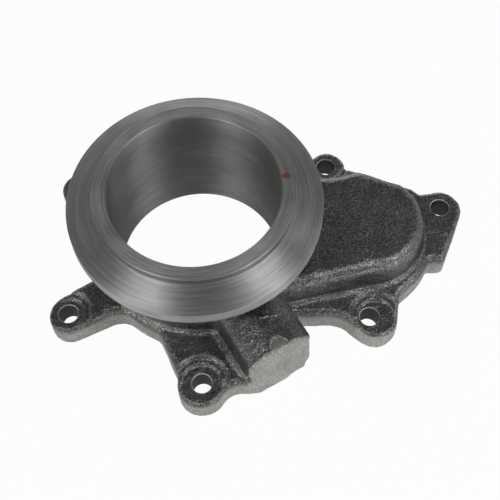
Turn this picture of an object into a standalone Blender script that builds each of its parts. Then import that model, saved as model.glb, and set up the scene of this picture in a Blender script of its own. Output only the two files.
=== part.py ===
"""Turbo exhaust adapter: one iron casting with a clamp flange, a bolted base and a hollow side chamber.

Lengths are in millimetres and are turned into metres when a mesh is made.  While it is drawn, the bore's
axis is the Z axis and the joint face is the plane z = 0.  The finished casting is then moved so that the
centre of its bounding box stands over the origin.
"""
import math
from dataclasses import dataclass, replace

import bmesh
import bpy
from mathutils import Matrix, Vector

MM = 0.001
FULL_TURN = 2.0 * math.pi
QUARTER_TURN = math.pi / 2.0
CONVEX = 1
CONCAVE = -1
LEFTWARD = (-1.0, 0.0)

# Bore, neck and clamp flange
BORE_RADIUS = 38.1
BORE_EDGE_CHAMFER = 0.4
NECK_WALL = 6.4
NECK_RADIUS = BORE_RADIUS + NECK_WALL
NECK_FOOT_FILLET = 2.2
TOTAL_HEIGHT = 63.5
SPIGOT_WALL = 6.4
SPIGOT_RADIUS = BORE_RADIUS + SPIGOT_WALL
SPIGOT_HEIGHT = 4.0
SPIGOT_CHAMFER = 0.4
FLANGE_OVERHANG = 12.0
FLANGE_RADIUS = NECK_RADIUS + FLANGE_OVERHANG
FLANGE_CONE_DROP = 4.9
FLANGE_RIM_WIDTH = 6.4
FLANGE_RIM_CHAMFER = 0.4
FLANGE_BACK_ANGLE_DEG = 20.0
FLANGE_BACK_FILLET = 3.0
CONE_TOP = TOTAL_HEIGHT - SPIGOT_HEIGHT
RIM_TOP = CONE_TOP - FLANGE_CONE_DROP
RIM_BOTTOM = RIM_TOP - FLANGE_RIM_WIDTH

# Base: bolting pads, and the panel that stands a little higher between them
PAD_THICKNESS = 12.0
PAD_EDGE_RADIUS = 1.4
PANEL_RISE = 2.5
PANEL_THICKNESS = PAD_THICKNESS + PANEL_RISE
PANEL_EDGE_RADIUS = 2.0
BODY_STEP = 2.7
BODY_RADIUS = NECK_RADIUS + BODY_STEP

# Bolt holes and the round recesses that their pads lie in
BOLT_HOLE_RADIUS = 4.5
BOLT_HOLE_CHAMFER = 0.35
BOLT_CIRCLE_RADIUS = 69.0
PAD_CLEARANCE = 0.25
PAD_WALL_RUN = 2.6
PAD_CUT_HEADROOM = 3.0

# Ears on the bolt circle: azimuth, how far the rounded end's centre lies from the hole, and the end's radius
FRONT_LEFT_AZIMUTH_DEG = -151.0
FRONT_LEFT_END_RADIUS = 9.0
FRONT_AZIMUTH_DEG = -89.0
FRONT_END_SHIFT = (-0.3, -0.1)
FRONT_END_RADIUS = 10.6
BACK_AZIMUTH_DEG = 90.0
BACK_END_RADIUS = 9.5
BACK_LEFT_AZIMUTH_DEG = 149.3
BACK_LEFT_END_RADIUS = 9.0

# Round end of the panel, away from the bore
PANEL_END_CENTRE = (75.0, 5.5)
PANEL_END_RADIUS = 36.4

# Ears round the panel's end: how far the hole lies beyond the end's edge, its azimuth about the end's centre,
# how far the rounded end's centre lies from the hole, and the end's radius
CHAMBER_FRONT_OVERHANG = 7.48
CHAMBER_FRONT_TURN_DEG = -86.47
CHAMBER_FRONT_END_SHIFT = (2.9, -0.1)
CHAMBER_FRONT_END_RADIUS = 10.0
CHAMBER_TIP_OVERHANG = 6.65
CHAMBER_TIP_TURN_DEG = 17.3
CHAMBER_TIP_END_SHIFT = (0.2, -0.3)
CHAMBER_TIP_END_RADIUS = 10.1
CHAMBER_BACK_OVERHANG = 4.3
CHAMBER_BACK_TURN_DEG = 108.03
CHAMBER_BACK_END_SHIFT = (0.5, -0.2)
CHAMBER_BACK_END_RADIUS = 9.0

# Fillets from the round body to the ears: degrees from the ear's azimuth, and radius
EAR_SPREAD_DEG = 17.4
EAR_FILLET = 8.0
FRONT_LEFT_SPREADS_DEG = (18.4, 20.8)
FRONT_LEFT_FRONT_FILLET = 10.4
FRONT_SPREAD_DEG = 26.5
FRONT_FILLET = 5.0
FRONT_EAR_FILLET = (-12.0, 5.0, 0.0)
BOSS_TO_EAR_FILLET = 11.0
CHAMBER_BACK_SPREAD_DEG = 14.7
CHAMBER_BACK_FILLET = 12.0

# Panel outline beside the chamber.  A corner is set out from the ear by it.  A fillet beside a round end has
# a turn away from the next ear or corner, a radius and a gap.
STRIP_FRONT = -36.9
STRIP_INNER_FILLET = 3.0
STRIP_OUTER_FILLET = 13.6
STRIP_OUTER_RUN = 21.6
PANEL_END_FILLET = (22.5, 3.0, 0.95)
TAB_CORNER_SHIFT = (-3.3, -24.8)
TAB_CORNER_RADIUS = 3.5
TAB_FILLET = (-9.7, 2.0, 0.0)
BACK_SHOULDER_SHIFT = (-14.1, 9.6)
BACK_SHOULDER_RADIUS = 2.5
TIP_FILLET = (-20.0, 2.8, 1.25)
BACK_EAR_FILLET = (23.3, 2.0, 0.03)

# Square boss beside the neck, pointing away from the bore's axis
BOSS_AZIMUTH_DEG = -61.4
BOSS_REACH = 73.3
BOSS_HALF_WIDTH = 15.25
BOSS_SIDE_SHIFT = 1.45
BOSS_DRAFT_DEG = 2.2
BOSS_FRONT_DRAFT_DEG = 1.0
BOSS_CREST_HEIGHT = 37.3
BOSS_ARCH_RADIUS = 18.5
BOSS_SHOULDER_RADIUS = 3.0
BOSS_CORNER_RADIUS = 3.0
BOSS_BURIED_RADIUS = 1.75
BOSS_FOOT_FILLET = 2.5
BOSS_FLARE_ROUNDING = 3.2
BOSS_BLEND_RADIUS = 14.0
BOSS_BLEND_ACROSS = -9.0
BOSS_BASE_STEP = 0.7

# Chamber: the raised hollow bulge beside the neck.  Its corners have a step out from its round end's edge and
# an azimuth about that end's centre.
CHAMBER_HEIGHT = 30.0
CHAMBER_EDGE_RADIUS = 5.0
CHAMBER_FOOT_FILLET = 1.8
CHAMBER_DRAFT_DEG = 5.0
CHAMBER_WALL = 5.5
CHAMBER_STRIP_WIDTH = 9.2
CHAMBER_END_SHIFT = (3.5, -2.0)
CHAMBER_END_RADIUS = PANEL_END_RADIUS - CHAMBER_STRIP_WIDTH
CHAMBER_BACK_CORNER_STEP = 0.25
CHAMBER_BACK_CORNER_TURN_DEG = 45.7
CHAMBER_BACK_CORNER_RADIUS = 4.5
CHAMBER_SHOULDER_STEP = 1.4
CHAMBER_SHOULDER_TURN_DEG = 95.3
CHAMBER_SHOULDER_RADIUS = 3.5
CHAMBER_EAR_CLEARANCE = 6.0
CHAMBER_ROOT_FRONT = (20.0, -25.8)
CHAMBER_ROOT_FRONT_RADIUS = 10.5
CHAMBER_ROOT_BACK = (25.0, 15.0)
CHAMBER_ROOT_BACK_RADIUS = 15.0
POCKET_CORNER_RADIUS = 3.0
POCKET_EDGE_RADIUS = 3.0
PORT_HALF_WIDTH = 11.5
PORT_HEIGHT = 13.0
PORT_CORNER_RADIUS = 4.0

# Allowances for the cuts and joins
MACHINING_ALLOWANCE = 2.0
CUTTER_OVERRUN = MACHINING_ALLOWANCE + 1.0
BURIED_WALL_STEP = 0.05
WELD_DISTANCE = 0.002

# Fineness of the curves
CURVE_SAGITTA = 0.08
LARGEST_STEP_DEG = 24.0
NEARLY_FULL_TURN = 0.9 * FULL_TURN
TURNED_STEPS = 96
HOLE_STEPS = 24
PAD_STEPS = 40
EDGE_STEPS = 3
BOSS_CORNER_STEPS = 5
PAD_WALL_STEPS = 5
SHARP_ANGLE_DEG = 30.0

# Finishes: colour, roughness and how metallic they are; and how a machined face is told from a cast one
CAST_SKIN = ((0.06, 0.06, 0.058), 0.55, 0.6)
MACHINED = ((0.30, 0.30, 0.29), 0.35, 0.9)
FACE_TOLERANCE = 0.1
STEEPEST_UPRIGHT = 0.5
FLATTEST_DOWNWARD = -0.9


@dataclass(frozen=True)
class Arc:
    """One rounded stretch of an outline that runs counter-clockwise, with straight lines between arcs."""

    x: float
    y: float
    radius: float
    side: int = CONVEX


@dataclass(frozen=True)
class Ear:
    """A bolting ear: its hole, the centre and radius of its rounded end."""

    hole: tuple
    centre: tuple
    radius: float

    def arc(self):
        return Arc(self.centre[0], self.centre[1], self.radius)


def polar(radius, azimuth_deg):
    """Return the point at a distance and azimuth from the bore's axis."""
    angle = math.radians(azimuth_deg)
    return (radius * math.cos(angle), radius * math.sin(angle))


def moved(point, shift):
    """Return a point moved by a shift."""
    return (point[0] + shift[0], point[1] + shift[1])


def neck_ear(azimuth_deg, radius, shift=(0.0, 0.0)):
    """Return an ear on the bolt circle round the neck."""
    hole = polar(BOLT_CIRCLE_RADIUS, azimuth_deg)
    return Ear(hole, moved(hole, shift), radius)


def panel_ear(overhang, azimuth_deg, shift, radius):
    """Return an ear set out from the round end of the panel."""
    hole = moved(PANEL_END_CENTRE, polar(PANEL_END_RADIUS + overhang, azimuth_deg))
    return Ear(hole, moved(hole, shift), radius)


EAR_FRONT_LEFT = neck_ear(FRONT_LEFT_AZIMUTH_DEG, FRONT_LEFT_END_RADIUS)
EAR_FRONT = neck_ear(FRONT_AZIMUTH_DEG, FRONT_END_RADIUS, FRONT_END_SHIFT)
EAR_CHAMBER_FRONT = panel_ear(CHAMBER_FRONT_OVERHANG, CHAMBER_FRONT_TURN_DEG, CHAMBER_FRONT_END_SHIFT,
                              CHAMBER_FRONT_END_RADIUS)
EAR_CHAMBER_TIP = panel_ear(CHAMBER_TIP_OVERHANG, CHAMBER_TIP_TURN_DEG, CHAMBER_TIP_END_SHIFT,
                            CHAMBER_TIP_END_RADIUS)
EAR_CHAMBER_BACK = panel_ear(CHAMBER_BACK_OVERHANG, CHAMBER_BACK_TURN_DEG, CHAMBER_BACK_END_SHIFT,
                             CHAMBER_BACK_END_RADIUS)
EAR_BACK = neck_ear(BACK_AZIMUTH_DEG, BACK_END_RADIUS)
EAR_BACK_LEFT = neck_ear(BACK_LEFT_AZIMUTH_DEG, BACK_LEFT_END_RADIUS)
EARS = (EAR_FRONT_LEFT, EAR_FRONT, EAR_CHAMBER_FRONT, EAR_CHAMBER_TIP,
        EAR_CHAMBER_BACK, EAR_BACK, EAR_BACK_LEFT)


def body_fillet(azimuth_deg, radius):
    """Return a concave arc that touches the round body at an azimuth."""
    x, y = polar(BODY_RADIUS + radius, azimuth_deg)
    return Arc(x, y, radius, CONCAVE)


def fillet_beside(arc, toward, turn_deg, radius, gap):
    """Return the concave arc beside a convex arc, at a turn away from the direction of a point."""
    direction = math.degrees(math.atan2(toward[1] - arc.y, toward[0] - arc.x))
    x, y = polar(arc.radius + radius + gap, direction + turn_deg)
    return Arc(arc.x + x, arc.y + y, radius, CONCAVE)


def fillet_between(first, second, radius):
    """Return the concave arc that touches two convex arcs, on the right of the way between them."""
    reach_first = first.radius + radius
    reach_second = second.radius + radius
    across = Vector((second.x - first.x, second.y - first.y))
    distance = across.length
    along = (distance ** 2 + reach_first ** 2 - reach_second ** 2) / (2.0 * distance)
    height = math.sqrt(max(reach_first ** 2 - along ** 2, 0.0))
    unit = across / distance
    centre = Vector((first.x, first.y)) + unit * along + Vector((unit.y, -unit.x)) * height
    return Arc(centre.x, centre.y, radius, CONCAVE)


def boss_point(across, out):
    """Return the plan point at a distance along the boss's face and a distance out from the bore's axis."""
    azimuth = math.radians(BOSS_AZIMUTH_DEG)
    x = out * math.cos(azimuth) - across * math.sin(azimuth)
    y = out * math.sin(azimuth) + across * math.cos(azimuth)
    return (x, y)


def boss_arc(across, out, radius, side=CONVEX):
    """Return an outline arc placed in the boss's own directions."""
    x, y = boss_point(across, out)
    return Arc(x, y, radius, side)


def strip_inner_fillet(boss_right):
    """Return the concave arc between the boss's right side and the strip in front of the chamber."""
    azimuth = math.radians(BOSS_AZIMUTH_DEG)
    y = STRIP_FRONT - STRIP_INNER_FILLET
    x = (boss_right + STRIP_INNER_FILLET - y * math.cos(azimuth)) / -math.sin(azimuth)
    return Arc(x, y, STRIP_INNER_FILLET, CONCAVE)


def base_outline():
    """Return the arcs of the whole base, counter-clockwise from the front left ear."""
    body = Arc(0.0, 0.0, BODY_RADIUS)
    boss_right = BOSS_SIDE_SHIFT + BOSS_HALF_WIDTH + boss_lean(PANEL_THICKNESS) - BOSS_BASE_STEP
    boss_front = BOSS_REACH - BOSS_BASE_STEP
    boss_blend = boss_arc(BOSS_BLEND_ACROSS, boss_front - BOSS_BLEND_RADIUS, BOSS_BLEND_RADIUS)
    boss_corner = boss_arc(boss_right - BOSS_CORNER_RADIUS, boss_front - BOSS_CORNER_RADIUS,
                           BOSS_CORNER_RADIUS)
    strip_outer_x = EAR_CHAMBER_FRONT.centre[0] - STRIP_OUTER_RUN
    panel_end = Arc(*PANEL_END_CENTRE, PANEL_END_RADIUS)
    tip = EAR_CHAMBER_TIP.arc()
    tab_corner = moved(EAR_CHAMBER_TIP.centre, TAB_CORNER_SHIFT)
    back_shoulder = moved(EAR_CHAMBER_TIP.centre, BACK_SHOULDER_SHIFT)
    back_ear = EAR_CHAMBER_BACK.arc()
    back_ear_azimuth = math.degrees(math.atan2(back_ear.y, back_ear.x))
    front_left_back, front_left_front = FRONT_LEFT_SPREADS_DEG
    return [
        EAR_FRONT_LEFT.arc(),
        body_fillet(FRONT_LEFT_AZIMUTH_DEG + front_left_front, FRONT_LEFT_FRONT_FILLET),
        body,
        body_fillet(FRONT_AZIMUTH_DEG - FRONT_SPREAD_DEG, FRONT_FILLET),
        fillet_beside(EAR_FRONT.arc(), moved(EAR_FRONT.centre, LEFTWARD), *FRONT_EAR_FILLET),
        EAR_FRONT.arc(),
        fillet_between(EAR_FRONT.arc(), boss_blend, BOSS_TO_EAR_FILLET),
        boss_blend,
        boss_corner,
        strip_inner_fillet(boss_right),
        Arc(strip_outer_x, STRIP_FRONT - STRIP_OUTER_FILLET, STRIP_OUTER_FILLET, CONCAVE),
        EAR_CHAMBER_FRONT.arc(),
        fillet_beside(panel_end, EAR_CHAMBER_FRONT.centre, *PANEL_END_FILLET),
        panel_end,
        fillet_beside(panel_end, tab_corner, *TAB_FILLET),
        Arc(*tab_corner, TAB_CORNER_RADIUS),
        tip,
        fillet_beside(tip, back_shoulder, *TIP_FILLET),
        Arc(*back_shoulder, BACK_SHOULDER_RADIUS),
        fillet_beside(back_ear, back_shoulder, *BACK_EAR_FILLET),
        back_ear,
        body_fillet(back_ear_azimuth + CHAMBER_BACK_SPREAD_DEG, CHAMBER_BACK_FILLET),
        body,
        body_fillet(BACK_AZIMUTH_DEG - EAR_SPREAD_DEG, EAR_FILLET),
        EAR_BACK.arc(),
        body_fillet(BACK_AZIMUTH_DEG + EAR_SPREAD_DEG, EAR_FILLET),
        body,
        body_fillet(BACK_LEFT_AZIMUTH_DEG - EAR_SPREAD_DEG, EAR_FILLET),
        EAR_BACK_LEFT.arc(),
        body_fillet(BACK_LEFT_AZIMUTH_DEG + EAR_SPREAD_DEG, EAR_FILLET),
        body,
        body_fillet(FRONT_LEFT_AZIMUTH_DEG - front_left_back, EAR_FILLET),
    ]


def chamber_outline():
    """Return the arcs of the chamber's outer wall, from its end by the neck."""
    end = moved(PANEL_END_CENTRE, CHAMBER_END_SHIFT)
    corner_reach = CHAMBER_END_RADIUS - CHAMBER_BACK_CORNER_RADIUS + CHAMBER_BACK_CORNER_STEP
    corner = moved(end, polar(corner_reach, CHAMBER_BACK_CORNER_TURN_DEG))
    shoulder_reach = CHAMBER_END_RADIUS - CHAMBER_SHOULDER_RADIUS + CHAMBER_SHOULDER_STEP
    shoulder = moved(end, polar(shoulder_reach, CHAMBER_SHOULDER_TURN_DEG))
    ear_radius = CHAMBER_BACK_END_RADIUS + CHAMBER_EAR_CLEARANCE
    return [
        Arc(*CHAMBER_ROOT_FRONT, CHAMBER_ROOT_FRONT_RADIUS),
        Arc(*end, CHAMBER_END_RADIUS),
        Arc(*corner, CHAMBER_BACK_CORNER_RADIUS),
        Arc(*shoulder, CHAMBER_SHOULDER_RADIUS),
        Arc(*EAR_CHAMBER_BACK.hole, ear_radius, CONCAVE),
        Arc(*CHAMBER_ROOT_BACK, CHAMBER_ROOT_BACK_RADIUS),
    ]


def step_count(radius, sweep):
    """Return how many straight pieces an arc needs."""
    fine = 2.0 * math.acos(max(1.0 - CURVE_SAGITTA / radius, 0.0))
    step = min(fine, math.radians(LARGEST_STEP_DEG))
    return max(1, math.ceil(abs(sweep) / step))


def headings(arcs):
    """Return the heading of the straight line from each arc to the next one."""
    result = []
    for index, arc in enumerate(arcs):
        after = arcs[(index + 1) % len(arcs)]
        across = Vector((after.x - arc.x, after.y - arc.y))
        turn = (after.side * after.radius - arc.side * arc.radius) / across.length
        result.append(math.atan2(across.y, across.x) - math.asin(max(-1.0, min(1.0, turn))))
    return result


def outline_points(arcs, growth=0.0, corner_steps=0):
    """Return the outline's points, moved outward by a distance; corner_steps fixes the pieces per arc."""
    lines = headings(arcs)
    points = []
    for index, arc in enumerate(arcs):
        start = lines[index - 1]
        sweep = (lines[index] - start) * arc.side % FULL_TURN
        if sweep > NEARLY_FULL_TURN:
            sweep -= FULL_TURN
        radius = arc.radius + arc.side * growth
        steps = corner_steps or step_count(arc.radius, sweep)
        for step in range(steps + 1):
            heading = start + arc.side * sweep * step / steps
            direction = heading - arc.side * QUARTER_TURN
            points.append((arc.x + radius * math.cos(direction), arc.y + radius * math.sin(direction)))
    return points


def solid_from_rings(name, rings):
    """Make a closed mesh from rings of points that all have the same number of points."""
    mesh_data = bmesh.new()
    rows = [[mesh_data.verts.new(Vector(point) * MM) for point in ring] for ring in rings]
    for low, high in zip(rows, rows[1:]):
        for index in range(len(low)):
            after = (index + 1) % len(low)
            mesh_data.faces.new((low[index], low[after], high[after], high[index]))
    mesh_data.faces.new(list(reversed(rows[0])))
    mesh_data.faces.new(rows[-1])
    bmesh.ops.remove_doubles(mesh_data, verts=mesh_data.verts, dist=WELD_DISTANCE * MM)
    bmesh.ops.recalc_face_normals(mesh_data, faces=mesh_data.faces)
    mesh = bpy.data.meshes.new(name)
    mesh_data.to_mesh(mesh)
    mesh_data.free()
    piece = bpy.data.objects.new(name, mesh)
    bpy.context.collection.objects.link(piece)
    return piece


def lofted(name, arcs, levels):
    """Make a solid from one outline drawn at several heights, each moved outward by its own distance."""
    rings = []
    for height, growth in levels:
        rings.append([(x, y, height) for x, y in outline_points(arcs, growth)])
    return solid_from_rings(name, rings)


def turned(name, profile, centre=(0.0, 0.0), steps=TURNED_STEPS):
    """Make a solid of revolution from (radius, height) points that run from bottom to top."""
    rings = []
    for radius, height in profile:
        ring = []
        for step in range(steps):
            angle = FULL_TURN * step / steps
            ring.append((centre[0] + radius * math.cos(angle), centre[1] + radius * math.sin(angle), height))
        rings.append(ring)
    return solid_from_rings(name, rings)


def rounded_edge(top, radius):
    """Return levels of a convex top edge, from the upright wall to the flat top."""
    levels = []
    for step in range(EDGE_STEPS + 1):
        angle = QUARTER_TURN * step / EDGE_STEPS
        levels.append((top - radius + radius * math.sin(angle), -radius + radius * math.cos(angle)))
    return levels


def foot_fillet(floor, radius):
    """Return levels of a concave foot, from the flat floor to the upright wall."""
    levels = []
    for step in range(EDGE_STEPS + 1):
        angle = QUARTER_TURN * step / EDGE_STEPS
        levels.append((floor + radius - radius * math.cos(angle), radius - radius * math.sin(angle)))
    return levels


def combine(target, tool, operation):
    """Apply one exact Boolean to the target and delete the tool."""
    modifier = target.modifiers.new(operation.lower(), 'BOOLEAN')
    modifier.operation = operation
    modifier.solver = 'EXACT'
    modifier.object = tool
    graph = bpy.context.evaluated_depsgraph_get()
    mesh = bpy.data.meshes.new_from_object(target.evaluated_get(graph))
    target.modifiers.clear()
    target.data = mesh
    bpy.data.objects.remove(tool)


def make_neck():
    """Make the clamp flange, the neck and its foot as one turned solid, still without its bore."""
    back_slope = math.tan(math.radians(FLANGE_BACK_ANGLE_DEG))
    back_inner = NECK_RADIUS + FLANGE_BACK_FILLET
    back_bottom = RIM_BOTTOM - (FLANGE_RADIUS - back_inner) * back_slope
    profile = [(NECK_RADIUS + NECK_FOOT_FILLET, 0.0)]
    for height, growth in foot_fillet(PANEL_THICKNESS, NECK_FOOT_FILLET):
        profile.append((NECK_RADIUS + growth, height))
    for step in range(EDGE_STEPS + 1):
        angle = QUARTER_TURN * step / EDGE_STEPS
        profile.append((back_inner - FLANGE_BACK_FILLET * math.cos(angle),
                        back_bottom - FLANGE_BACK_FILLET * (1.0 - math.sin(angle))))
    profile += [
        (FLANGE_RADIUS - FLANGE_RIM_CHAMFER, RIM_BOTTOM),
        (FLANGE_RADIUS, RIM_BOTTOM + FLANGE_RIM_CHAMFER),
        (FLANGE_RADIUS, RIM_TOP - FLANGE_RIM_CHAMFER),
        (FLANGE_RADIUS - FLANGE_RIM_CHAMFER, RIM_TOP),
        (SPIGOT_RADIUS, CONE_TOP),
        (SPIGOT_RADIUS, TOTAL_HEIGHT - SPIGOT_CHAMFER),
        (SPIGOT_RADIUS - SPIGOT_CHAMFER, TOTAL_HEIGHT),
    ]
    return turned('neck', profile)


def make_bore_cutter():
    """Make the cutter of the bore, with the chamfer at its top edge."""
    profile = [
        (BORE_RADIUS, -CUTTER_OVERRUN),
        (BORE_RADIUS, TOTAL_HEIGHT - BORE_EDGE_CHAMFER),
        (BORE_RADIUS + BORE_EDGE_CHAMFER, TOTAL_HEIGHT),
        (BORE_RADIUS + BORE_EDGE_CHAMFER, TOTAL_HEIGHT + CUTTER_OVERRUN),
    ]
    return turned('bore_cutter', profile)


def make_bolt_cutter(ear):
    """Make the cutter of one bolt hole, with the chamfer at the pad."""
    profile = [
        (BOLT_HOLE_RADIUS, -CUTTER_OVERRUN),
        (BOLT_HOLE_RADIUS, PAD_THICKNESS - BOLT_HOLE_CHAMFER),
        (BOLT_HOLE_RADIUS + BOLT_HOLE_CHAMFER, PAD_THICKNESS),
        (BOLT_HOLE_RADIUS + BOLT_HOLE_CHAMFER, PAD_THICKNESS + CUTTER_OVERRUN),
    ]
    return turned('bolt_cutter', profile, ear.hole, HOLE_STEPS)


def make_pad_cutter(ear):
    """Make the cutter that lowers the panel round an ear, with an S-shaped wall up to the panel."""
    pad_radius = ear.radius + PAD_CLEARANCE
    profile = [(pad_radius, -CUTTER_OVERRUN), (pad_radius, PAD_THICKNESS)]
    for step in range(1, PAD_WALL_STEPS + 1):
        share = step / PAD_WALL_STEPS
        height = PAD_THICKNESS + PANEL_RISE * (1.0 - math.cos(math.pi * share)) / 2.0
        profile.append((pad_radius + PAD_WALL_RUN * share, height))
    profile.append((pad_radius + PAD_WALL_RUN, CHAMBER_HEIGHT + PAD_CUT_HEADROOM))
    return turned('pad_cutter', profile, ear.centre, PAD_STEPS)


def make_panel():
    """Make the base at the height of the panel."""
    levels = [(-MACHINING_ALLOWANCE, 0.0)] + rounded_edge(PANEL_THICKNESS, PANEL_EDGE_RADIUS)
    return lofted('panel', base_outline(), levels)


def make_pads():
    """Make the base at the height of the bolting pads."""
    edge = [(height, growth - BURIED_WALL_STEP) for height, growth in
            rounded_edge(PAD_THICKNESS, PAD_EDGE_RADIUS)]
    levels = [(-MACHINING_ALLOWANCE, -BURIED_WALL_STEP)] + edge
    return lofted('pads', base_outline(), levels)


def chamber_levels(floor):
    """Return the levels of the chamber's wall: foot, drafted side and rounded top edge."""
    wall_foot = PANEL_THICKNESS + CHAMBER_FOOT_FILLET
    wall_top = CHAMBER_HEIGHT - CHAMBER_EDGE_RADIUS
    lean = (wall_top - wall_foot) * math.tan(math.radians(CHAMBER_DRAFT_DEG))
    foot = foot_fillet(PANEL_THICKNESS, CHAMBER_FOOT_FILLET)
    edge = [(height, growth - lean) for height, growth in rounded_edge(CHAMBER_HEIGHT, CHAMBER_EDGE_RADIUS)]
    return [(floor, foot[0][1])] + foot + edge


def inset_outline(arcs, wall, smallest_radius):
    """Return the outline a wall's thickness inside another, with no convex corner sharper than a radius."""
    lines = headings(arcs)
    result = []
    for index, arc in enumerate(arcs):
        radius = arc.radius - arc.side * wall
        if arc.side == CONCAVE or radius >= smallest_radius:
            result.append(replace(arc, radius=radius))
            continue
        before = Vector((math.sin(lines[index - 1]), -math.cos(lines[index - 1])))
        after = Vector((math.sin(lines[index]), -math.cos(lines[index])))
        shift = (before + after) * ((radius - smallest_radius) / (1.0 + before.dot(after)))
        result.append(replace(arc, x=arc.x + shift.x, y=arc.y + shift.y, radius=smallest_radius))
    return result


def corner_beside_neck(first, second, wall, radius, reach):
    """Return the convex corner inside the line between two arcs, at a distance from the bore's axis."""
    heading = headings([first, second])[0]
    inward = Vector((-math.sin(heading), math.cos(heading)))
    along = Vector((math.cos(heading), math.sin(heading)))
    start = Vector((first.x, first.y)) + inward * (wall + radius - first.side * first.radius)
    nearest = start - along * start.dot(along)
    centre = nearest + Vector((1.0, 0.0)).dot(along) * along * math.sqrt(reach ** 2 - nearest.length_squared)
    return Arc(centre.x, centre.y, radius)


def make_chamber():
    """Make the outer form of the chamber."""
    return lofted('chamber', chamber_outline(), chamber_levels(PAD_THICKNESS / 2.0))


def make_pocket_cutter():
    """Make the chamber's hollow, open at the joint face, with the neck's own wall between it and the bore."""
    outer = chamber_outline()
    reach = NECK_RADIUS + POCKET_CORNER_RADIUS
    root_front, end = outer[0], outer[1]
    ear_arc, root_back = outer[-2], outer[-1]
    arcs = inset_outline(outer, CHAMBER_WALL, POCKET_CORNER_RADIUS)[1:-1]
    arcs.append(corner_beside_neck(ear_arc, root_back, CHAMBER_WALL, POCKET_CORNER_RADIUS, reach))
    arcs.append(Arc(0.0, 0.0, NECK_RADIUS, CONCAVE))
    arcs.append(corner_beside_neck(root_front, end, CHAMBER_WALL, POCKET_CORNER_RADIUS, reach))
    roof = CHAMBER_HEIGHT - CHAMBER_WALL
    levels = [(-CUTTER_OVERRUN, 0.0)] + rounded_edge(roof, POCKET_EDGE_RADIUS)
    return lofted('pocket_cutter', arcs, levels)


def make_port_cutter():
    """Make the passage at the joint face between the bore and the chamber's hollow."""
    side = PORT_HALF_WIDTH - PORT_CORNER_RADIUS
    top = PORT_HEIGHT - PORT_CORNER_RADIUS
    arcs = [Arc(y, z, PORT_CORNER_RADIUS) for y, z in
            ((side, top), (-side, top), (-side, -PORT_HEIGHT), (side, -PORT_HEIGHT))]
    section = outline_points(arcs)
    ends = (BORE_RADIUS - NECK_WALL, BORE_RADIUS + 2.0 * NECK_WALL)
    rings = [[(x, y, z) for y, z in section] for x in ends]
    return solid_from_rings('port_cutter', rings)


def boss_shoulder_height():
    """Return the height at which the boss's sides turn into its rounded shoulders."""
    run = BOSS_HALF_WIDTH - BOSS_SHOULDER_RADIUS
    rise = math.sqrt((BOSS_ARCH_RADIUS - BOSS_SHOULDER_RADIUS) ** 2 - run ** 2)
    return BOSS_CREST_HEIGHT - BOSS_ARCH_RADIUS + rise


def boss_lean(height):
    """Return how far the boss's drafted side stands out at a height, against its width at the shoulders."""
    return (boss_shoulder_height() - height) * math.tan(math.radians(BOSS_DRAFT_DEG))


def boss_set_back(height):
    """Return how far the drafted front face stands back at a height, below the boss's crest."""
    return (BOSS_CREST_HEIGHT - height) * math.tan(math.radians(BOSS_FRONT_DRAFT_DEG))


def make_boss():
    """Make the boss: its arched section run outward, cut to a plan with rounded upright corners."""
    right = BOSS_SIDE_SHIFT + BOSS_HALF_WIDTH
    left = BOSS_SIDE_SHIFT - BOSS_HALF_WIDTH
    start = BORE_RADIUS - NECK_WALL
    floor = -MACHINING_ALLOWANCE
    buried = BOSS_BURIED_RADIUS
    arch_centre = BOSS_CREST_HEIGHT - BOSS_ARCH_RADIUS
    shoulder_height = boss_shoulder_height()
    fillet_height = PANEL_THICKNESS + BOSS_FOOT_FILLET
    fillet_centre = left - boss_lean(fillet_height) - BOSS_FOOT_FILLET
    section_arcs = [
        Arc(right + boss_lean(floor) - buried, floor + buried, buried),
        Arc(right - BOSS_SHOULDER_RADIUS, shoulder_height, BOSS_SHOULDER_RADIUS),
        Arc(BOSS_SIDE_SHIFT, arch_centre, BOSS_ARCH_RADIUS),
        Arc(left + BOSS_SHOULDER_RADIUS, shoulder_height, BOSS_SHOULDER_RADIUS),
        Arc(fillet_centre, fillet_height, BOSS_FOOT_FILLET, CONCAVE),
        Arc(fillet_centre, PANEL_THICKNESS - buried, buried),
        Arc(fillet_centre, floor + buried, buried),
    ]
    section = outline_points(section_arcs)
    section_ends = (start, BOSS_REACH + BOSS_CORNER_RADIUS)
    boss = solid_from_rings('boss', [[(*boss_point(across, out), height) for across, height in section]
                                     for out in section_ends])
    levels = [(floor, BOSS_FOOT_FILLET)] + foot_fillet(PANEL_THICKNESS, BOSS_FOOT_FILLET)
    levels.append((shoulder_height, 0.0))
    levels.append((BOSS_CREST_HEIGHT + BOSS_FOOT_FILLET, 0.0))
    rings = []
    for height, flare in levels:
        lean = boss_lean(min(height, shoulder_height)) + BURIED_WALL_STEP
        front = BOSS_REACH - boss_set_back(min(height, BOSS_CREST_HEIGHT))
        left_radius = BOSS_CORNER_RADIUS + BOSS_FLARE_ROUNDING * flare
        left_centre = left - lean - flare + left_radius
        right_centre = right + lean - BOSS_CORNER_RADIUS
        plan = [
            boss_arc(left_centre, front - left_radius, left_radius),
            boss_arc(right_centre, front - BOSS_CORNER_RADIUS, BOSS_CORNER_RADIUS),
            boss_arc(right_centre, start, BOSS_CORNER_RADIUS),
            boss_arc(left_centre, start, left_radius),
        ]
        points = outline_points(plan, corner_steps=BOSS_CORNER_STEPS)
        rings.append([(x, y, height) for x, y in points])
    combine(boss, solid_from_rings('boss_plan', rings), 'INTERSECT')
    return boss


def make_material(name, finish):
    """Make a plain Principled material from a colour, a roughness and a metallic value."""
    colour, roughness, metallic = finish
    material = bpy.data.materials.new(name)
    material.use_nodes = True
    shader = material.node_tree.nodes['Principled BSDF']
    shader.inputs['Base Color'].default_value = (*colour, 1.0)
    shader.inputs['Roughness'].default_value = roughness
    shader.inputs['Metallic'].default_value = metallic
    material.diffuse_color = (*colour, 1.0)
    return material


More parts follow.
